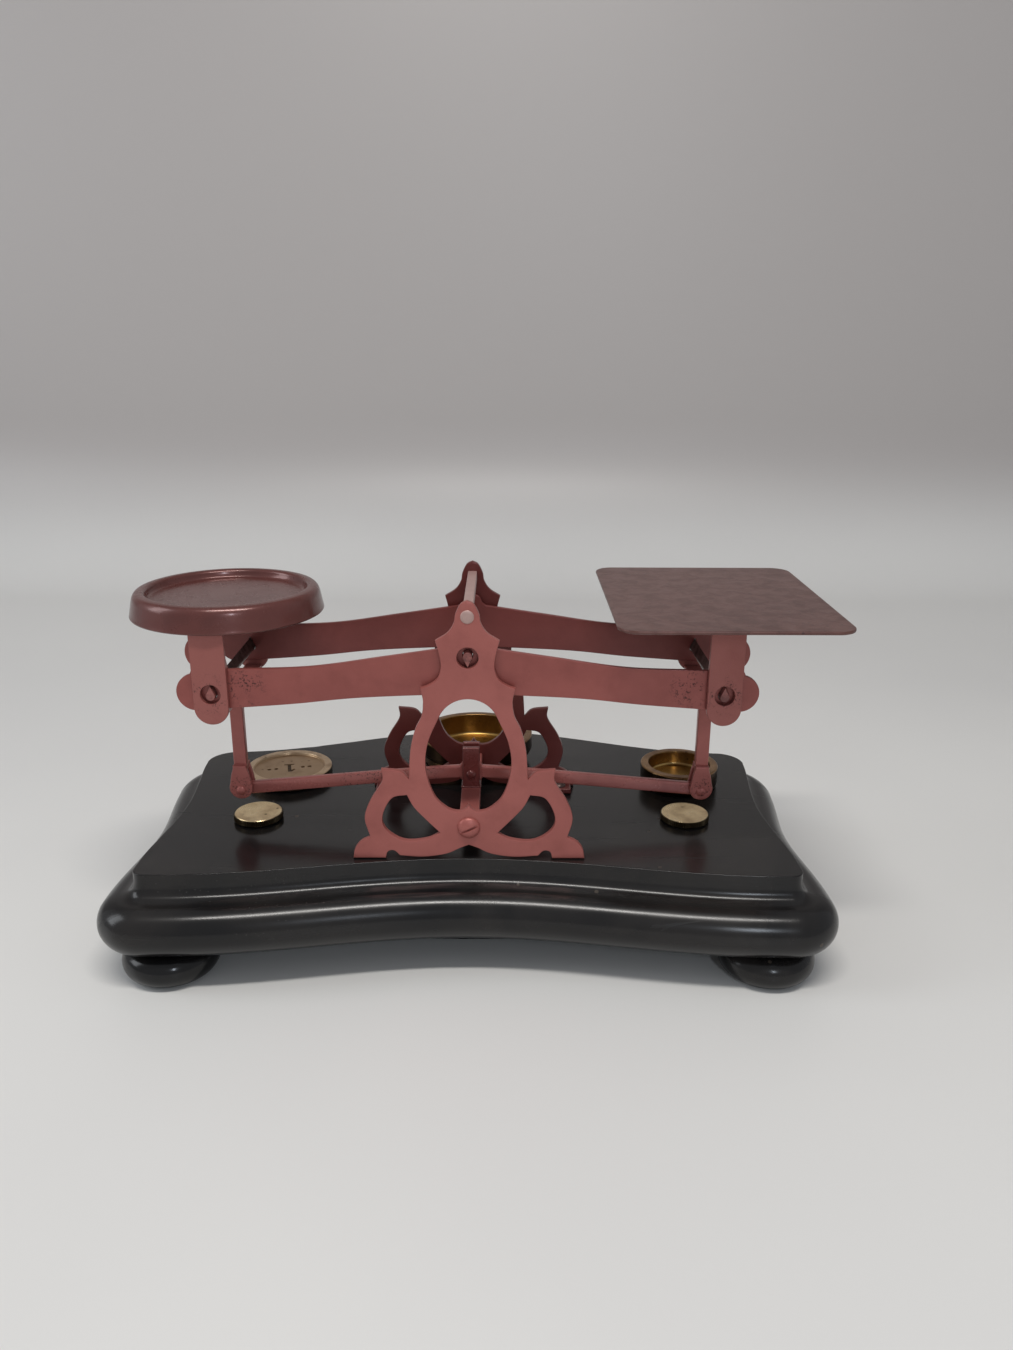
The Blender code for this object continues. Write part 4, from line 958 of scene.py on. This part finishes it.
def make_stem(side, sx, tree):
    node = f"{side}_stem"
    x = sx * ARM
    ear = 1.6 * MM
    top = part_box(node)[1][2]
    bridge_low, bridge_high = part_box(f"{side}_bridge")
    parts = [bar(x, 2.4 * MM, 1.6 * MM, FORK_PIN_Z + 7.2 * MM, bridge_low[2] + 0.1 * MM, 0.45 * MM),
             bar(x, 1.7 * MM, 1.7 * MM, bridge_high[2] - 0.5 * MM, top, 0.35 * MM)]
    for sy in (-1, 1):
        centre = (x, MID_Y + sy * (SLOT_HALF + ear / 2), FORK_PIN_Z)
        parts.append(sheet([ear_outline()], ear, centre, edge=0.4 * MM))
    parts.append(bar(x, 2.5 * MM, SLOT_HALF + 0.4 * MM, FORK_PIN_Z + 7.4 * MM, FORK_PIN_Z + 10.1 * MM,
                     0.4 * MM))
    piece(f"forked_{node}", joined(*parts), f"{side}_carrier", STEM_PAINT, [node])
    place = Vector((x, MID_Y, FORK_PIN_Z))
    pin = rivets(shank(place, 3.2 * MM), tree, place, SLOT_HALF + ear, PIN_HEAD_RADIUS, 0.8 * MM, 9 + sx)
    piece(f"{side}_fork_rivet", pin, f"{side}_carrier", STEM_PAINT, [f"{side}_fork_pin"])


def make_stay():
    """A flat strip on edge: a boss on the centre pin and an eye on each fork pin."""
    drop = FORK_PIN_Z - STAY_PIN.z
    half, boss, eye = 2.4 * MM, 4.9 * MM, 2.9 * MM
    join = math.degrees(math.asin(half / boss))
    eye_join = math.degrees(math.asin(half / eye))
    boss_x = boss * math.cos(math.radians(join))
    eye_x = ARM - eye * math.cos(math.radians(eye_join))
    upper = smooth([(boss_x, half), (0.3 * ARM, 0.24 * drop + half), (eye_x, drop + half)], 14)
    lower = smooth([(eye_x, drop - half), (0.3 * ARM, 0.24 * drop - half), (boss_x, -half)], 14)
    outline = mirrored(chain(arc((0, 0), boss, 90, join, 10), upper,
                             arc((ARM, drop), eye, 180 - eye_join, eye_join - 180, 28), lower,
                             arc((0, 0), boss, -join, -90, 10)))
    holes = [circle(place, 1.5 * MM, 28) for place in ((0, 0), (ARM, drop), (-ARM, drop))]
    strip = sheet([outline] + holes, 2.5 * MM, (0, MID_Y, STAY_PIN.z), edge=0.6 * MM)
    piece("level_stay", strip, "stay", STAY_PAINT, ["stay_bar"])


# ---- pans

def make_round_pan():
    skirt, rim = (corner[2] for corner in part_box("round_pan"))
    centre = Vector((*box_centre("round_pan").xy, 0))
    radius = box_size("round_pan").x / 2
    floor = rim - 3.0 * MM
    under = floor - 1.1 * MM
    recess = 27.2 * MM
    inner_wall = beside(recess, floor, (-1.4, 0), (-0.3, 0.35), (0.25, 1.3))
    inner_wall += beside(recess, rim, (0.6, -0.7), (1.3, -0.12), (2.1, 0))
    outer_wall = beside(radius, rim, (-4.1, 0), (-2.6, -0.35), (-1.5, -1.7), (-0.85, -4.2))
    outer_wall += beside(radius, skirt, (-0.25, 1.6), (0, 0.6))
    lip = arc((radius - 0.5 * MM, skirt + 0.5 * MM), 0.5 * MM, 0, -180, 8)
    back = beside(radius, skirt, (-1.15, 1.8)) + beside(radius, rim, (-1.95, -4.4), (-3.1, -1.7))
    back += beside(recess, rim, (2.2, -1.15)) + beside(recess, under, (1.4, 0.7), (-0.2, 0))
    profile = [(0, floor), (recess * 0.5, floor)] + smooth(inner_wall, 5) + smooth(outer_wall, 6)
    profile += lip + smooth(back, 5) + [(recess * 0.5, under), (0, under)]
    piece("weights_pan", lathe(profile, centre, 160), "left_carrier", PAN_PAINT, ["round_pan"],
          flat_faces=False)


def make_letter_plate():
    """A flat sheet with rounded corners."""
    size = box_size("letter_plate")
    x, y = size.x / 2, size.y / 2
    r = 7 * MM
    outline = chain(arc((x - r, y - r), r, 0, 90, 12), arc((r - x, y - r), r, 90, 180, 12),
                    arc((r - x, r - y), r, 180, 270, 12), arc((x - r, r - y), r, 270, 360, 12))
    plate = sheet([outline], size.z, box_centre("letter_plate"), ALONG_Z, 0.42 * MM)
    piece("letter_pan_plate", plate, "right_carrier", PLATE_PAINT, ["letter_plate"])


# ---- weights

RIM_WIDTH = 3.2 * MM
RIM_EDGE = 0.45 * MM
NUMERAL = [(-0.7, 3.9), (0.7, 3.9), (0.7, -2.9), (2.1, -3.3), (2.1, -4.0), (-2.1, -4.0), (-2.1, -3.3),
           (-0.7, -2.9), (-0.7, 2.1), (-2.1, 1.3), (-2.1, 2.3)]


def punched(bm, stamps, floor_z, top_z):
    """Cut marks into a flat top: the stamps are outlines, seen from above."""
    body = scratch_object("stamped", bpy.data.meshes.new("stamped"))
    bm.to_mesh(body.data)
    bm.free()
    cutters = []
    for stamp in stamps:
        middle = (floor_z + top_z) / 2
        tool = scratch_object("stamp", bpy.data.meshes.new("stamp"))
        solid = sheet([stamp], top_z - floor_z, (0, 0, middle), ALONG_Z, 0.02 * MM)
        solid.to_mesh(tool.data)
        solid.free()
        cut = body.modifiers.new("stamp", "BOOLEAN")
        cut.operation = "DIFFERENCE"
        cut.solver = "EXACT"
        cut.object = tool
        cutters.append(tool)
    mesh = baked(body)
    for tool in cutters:
        bpy.data.objects.remove(tool, do_unlink=True)
    result = bmesh.new()
    result.from_mesh(mesh)
    return result


def placed(node):
    """A weight's foot on the axis, its radius and its height."""
    size = box_size(node)
    return box_centre(node) - Vector((0, 0, size.z / 2)), size.x / 2, size.z


def bowl(inner, floor, fillet, height):
    """The inside of a cup: its floor, a fillet, its wall and the rim's inner edge."""
    profile = [(0, floor), (inner * 0.5, floor - 0.05 * MM)]
    profile += arc((inner - fillet, floor + fillet), fillet, -90, 0, 8)
    profile += [(inner, height - 0.5 * MM)]
    return profile + arc((inner + RIM_EDGE, height - RIM_EDGE), RIM_EDGE, 180, 90, 5)


def make_large_cup():
    centre, radius, height = placed("large_cup_weight")
    step, floor = 3.6 * MM, 2.4 * MM
    inner = radius - RIM_WIDTH
    profile = bowl(inner, floor, 1.6 * MM, height)
    profile += arc((radius - RIM_EDGE, height - RIM_EDGE), RIM_EDGE, 90, 0, 5)
    profile += beside(radius, step, (0, 2.4), (-0.35, 1.9))
    profile += arc((radius - 1.5 * MM, step + 1.5 * MM), 1.1 * MM, 15, -60, 6)
    profile += beside(radius, 0, (-2.3, 3.4), (-2.3, 1.3))
    profile += arc((radius - 2.75 * MM, RIM_EDGE), RIM_EDGE, 0, -90, 5)
    profile += beside(radius, 0, (-4.5, 0), (-5.2, 0.45)) + [(0, RIM_EDGE)]
    brass = aged_brass("large_cup_brass", centre, (0.30, 0.165, 0.072), (0.10, 0.048, 0.022), 0.30,
                       (radius, height), ((0.42, 0.26, 0.075), inner))
    piece("stepped_cup_weight", lathe(profile, centre, 144), "large_cup", brass, ["large_cup_weight"], 30)


def make_small_cup():
    centre, radius, height = placed("small_cup_weight")
    inner, floor = radius - RIM_WIDTH, 2.6 * MM
    profile = bowl(inner, floor, 1.2 * MM, height)
    profile += arc((radius - 0.6 * MM, height - 0.6 * MM), 0.6 * MM, 90, 0, 6)
    profile += beside(radius, 0, (0, 1.6), (-0.25, 1.2))
    profile += arc((radius - 0.9 * MM, 0.6 * MM), 0.6 * MM, 0, -90, 5)
    profile += beside(radius, 0, (-4.2, 0), (-4.8, 0.4)) + [(0, 0.4 * MM)]
    brass = aged_brass("small_cup_brass", centre, (0.34, 0.20, 0.095), (0.11, 0.055, 0.028), 0.30,
                       (radius, height), ((0.45, 0.29, 0.10), inner))
    piece("plain_cup_weight", lathe(profile, centre, 128), "small_cup", brass, ["small_cup_weight"], 30)


def make_disc():
    """A rimmed disc with a punched numeral between two punched dots, read from the back."""
    centre, radius, height = placed("rimmed_disc_weight")
    inner, top = radius - RIM_WIDTH, height - 1.0 * MM
    profile = [(0, top), (inner - 0.7 * MM, top)]
    profile += arc((inner - 0.7 * MM, top + 0.5 * MM), 0.5 * MM, -80, 0, 5)
    profile += arc((inner + 0.5 * MM, height - 0.35 * MM), 0.45 * MM, 170, 95, 5)
    profile += [(radius - 1.4 * MM, height)] + arc((radius - 0.7 * MM, height - 0.7 * MM), 0.7 * MM, 82, 0, 7)
    profile += arc((radius - 0.6 * MM, 0.6 * MM), 0.6 * MM, 0, -90, 6) + [(0, 0)]
    tilt = Matrix.Rotation(math.radians(193), 2)
    stamps = [[tuple(tilt @ Vector((x * MM, y * MM)) + centre.xy) for x, y in NUMERAL]]
    for x in (-8.2, -5.4, 5.4, 8.2):
        middle = tilt @ Vector((x * MM, 0)) + centre.xy
        stamps.append(circle(tuple(middle), 0.85 * MM, 20))
    floor_z = centre.z + top - 0.42 * MM
    solid = punched(lathe(profile, centre, 128), stamps, floor_z, centre.z + top + 0.6 * MM)
    brass = aged_brass("rimmed_disc_brass", centre, (0.66, 0.49, 0.32), (0.28, 0.17, 0.095), 0.34,
                       (radius, height), ((0.44, 0.30, 0.18), inner), 0.8)
    for face in solid.faces:
        middle = face.calc_center_median()
        if (middle.xy - centre.xy).length < inner * 0.7 and abs(middle.z - floor_z) < 0.05 * MM:
            face.material_index = 1
    piece("numbered_disc_weight", solid, "rimmed_disc", [brass, ENGRAVED], ["rimmed_disc_weight"], 30)


def make_coins():
    for side in ("left", "right"):
        node = f"{side}_coin_weight"
        centre, radius, height = placed(node)
        body = radius - 0.35 * MM
        profile = [(0, height - 0.12 * MM)]
        profile += beside(body, height, (-2.0, -0.12), (-1.7, 0), (-0.3, 0), (0, -0.3))
        profile += beside(body, 0, (0, 0.3), (-0.3, 0)) + [(0, 0)]
        brass = aged_brass(f"{side}_coin_brass", centre, (0.92, 0.73, 0.44), (0.48, 0.32, 0.16), 0.30,
                           (radius, height), rings=0.7)
        sizes = {"Radius": body - 0.1 * MM, "Thickness": height - 0.75 * MM,
                 "Rib Width": 0.62 * MM, "Ribs": 72}
        coin = lathe(profile, centre, 96)
        middle = centre + Vector((0, 0, height / 2))
        coin.from_mesh(grown(f"{side}_coin_ribs", serration_tree(brass), [middle], sizes))
        piece(f"{side}_milled_coin", coin, f"{side}_coin", brass, [node], 30)


# ---- studio

def make_stage():
    """A white table that sweeps up into a white wall, the wall's paint darkened as painted shade."""
    y_wall, y_front, half, turn = 0.62, -1.3, 1.5, 0.14
    strip = [(y_front, 0.0), (y_wall - turn, 0.0)]
    strip += arc((y_wall - turn, turn), turn, -90, 0, 20) + [(y_wall, 1.6)]
    bm = bmesh.new()
    rows = [[bm.verts.new((x, y, z)) for y, z in strip] for x in (-half, half)]
    for i in range(len(strip) - 1):
        bm.faces.new((rows[0][i], rows[1][i], rows[1][i + 1], rows[0][i + 1]))
    mesh = bpy.data.meshes.new("white_table")
    bm.to_mesh(mesh)
    bm.free()
    table = scratch_object("white_table", mesh)
    mesh.materials.append(studio_white("white_table_shaded_wall_paint"))
    mesh.shade_smooth()


def softbox(name, place, target, size, power, colour):
    light = bpy.data.lights.new(name, "AREA")
    light.shape = "RECTANGLE"
    light.size, light.size_y = size
    light.energy = power
    light.color = colour
    lamp = scratch_object(name, light)
    lamp.location = place
    lamp.rotation_euler = (Vector(target) - Vector(place)).to_track_quat("-Z", "Y").to_euler()


def make_lights():
    world = bpy.data.worlds.new("room")
    bpy.context.scene.world = world
    world.use_nodes = True
    background = world.node_tree.nodes["Background"].inputs
    background["Color"].default_value = (0.86, 0.88, 0.92, 1.0)
    background["Strength"].default_value = 0.42
    bpy.context.scene.view_settings.view_transform = "Standard"
    softbox("ceiling_lamp", (0.02, -0.40, 1.0), (0, -0.05, 0.05), (0.60, 0.075), 5.6, (1.0, 0.97, 0.93))
    softbox("left_window", (-0.95, -0.15, 0.55), (0, 0, 0.06), (0.35, 0.6), 2.2, (0.92, 0.96, 1.0))
    softbox("far_window", (0.24, -1.05, 0.58), (0, 0, 0.06), (0.09, 0.20), 1.3, (0.82, 0.90, 1.0))


def make_camera():
    camera = bpy.data.cameras.new("camera")
    camera.sensor_width = 36.0
    camera.lens = 27.63
    viewer = scratch_object("camera", camera)
    pitch, yaw, roll = math.radians(-18.18), math.radians(0.21), math.radians(0.24)
    turn = Matrix.Rotation(-yaw, 4, "Z") @ Matrix.Rotation(math.pi / 2 + pitch, 4, "X")
    viewer.matrix_world = (Matrix.Translation((0.0117, -0.3820, 0.2150)) @ turn
                           @ Matrix.Rotation(roll, 4, "Z"))
    bpy.context.scene.camera = viewer


# ---- the whole object

PAINTED_RIVETS = rivet_tree(STAY_PAINT)

make_board()
make_feet()
make_frames()
make_stand_screws()
make_spacer(PAINTED_RIVETS)
make_cross_bar(PAINTED_RIVETS)
make_beam()
for name, sign in (("left", -1), ("right", 1)):
    make_stirrup(name, sign)
    make_stem(name, sign, PAINTED_RIVETS)
make_stay()
make_round_pan()
make_letter_plate()
make_large_cup()
make_small_cup()
make_disc()
make_coins()
make_stage()
make_lights()
make_camera()
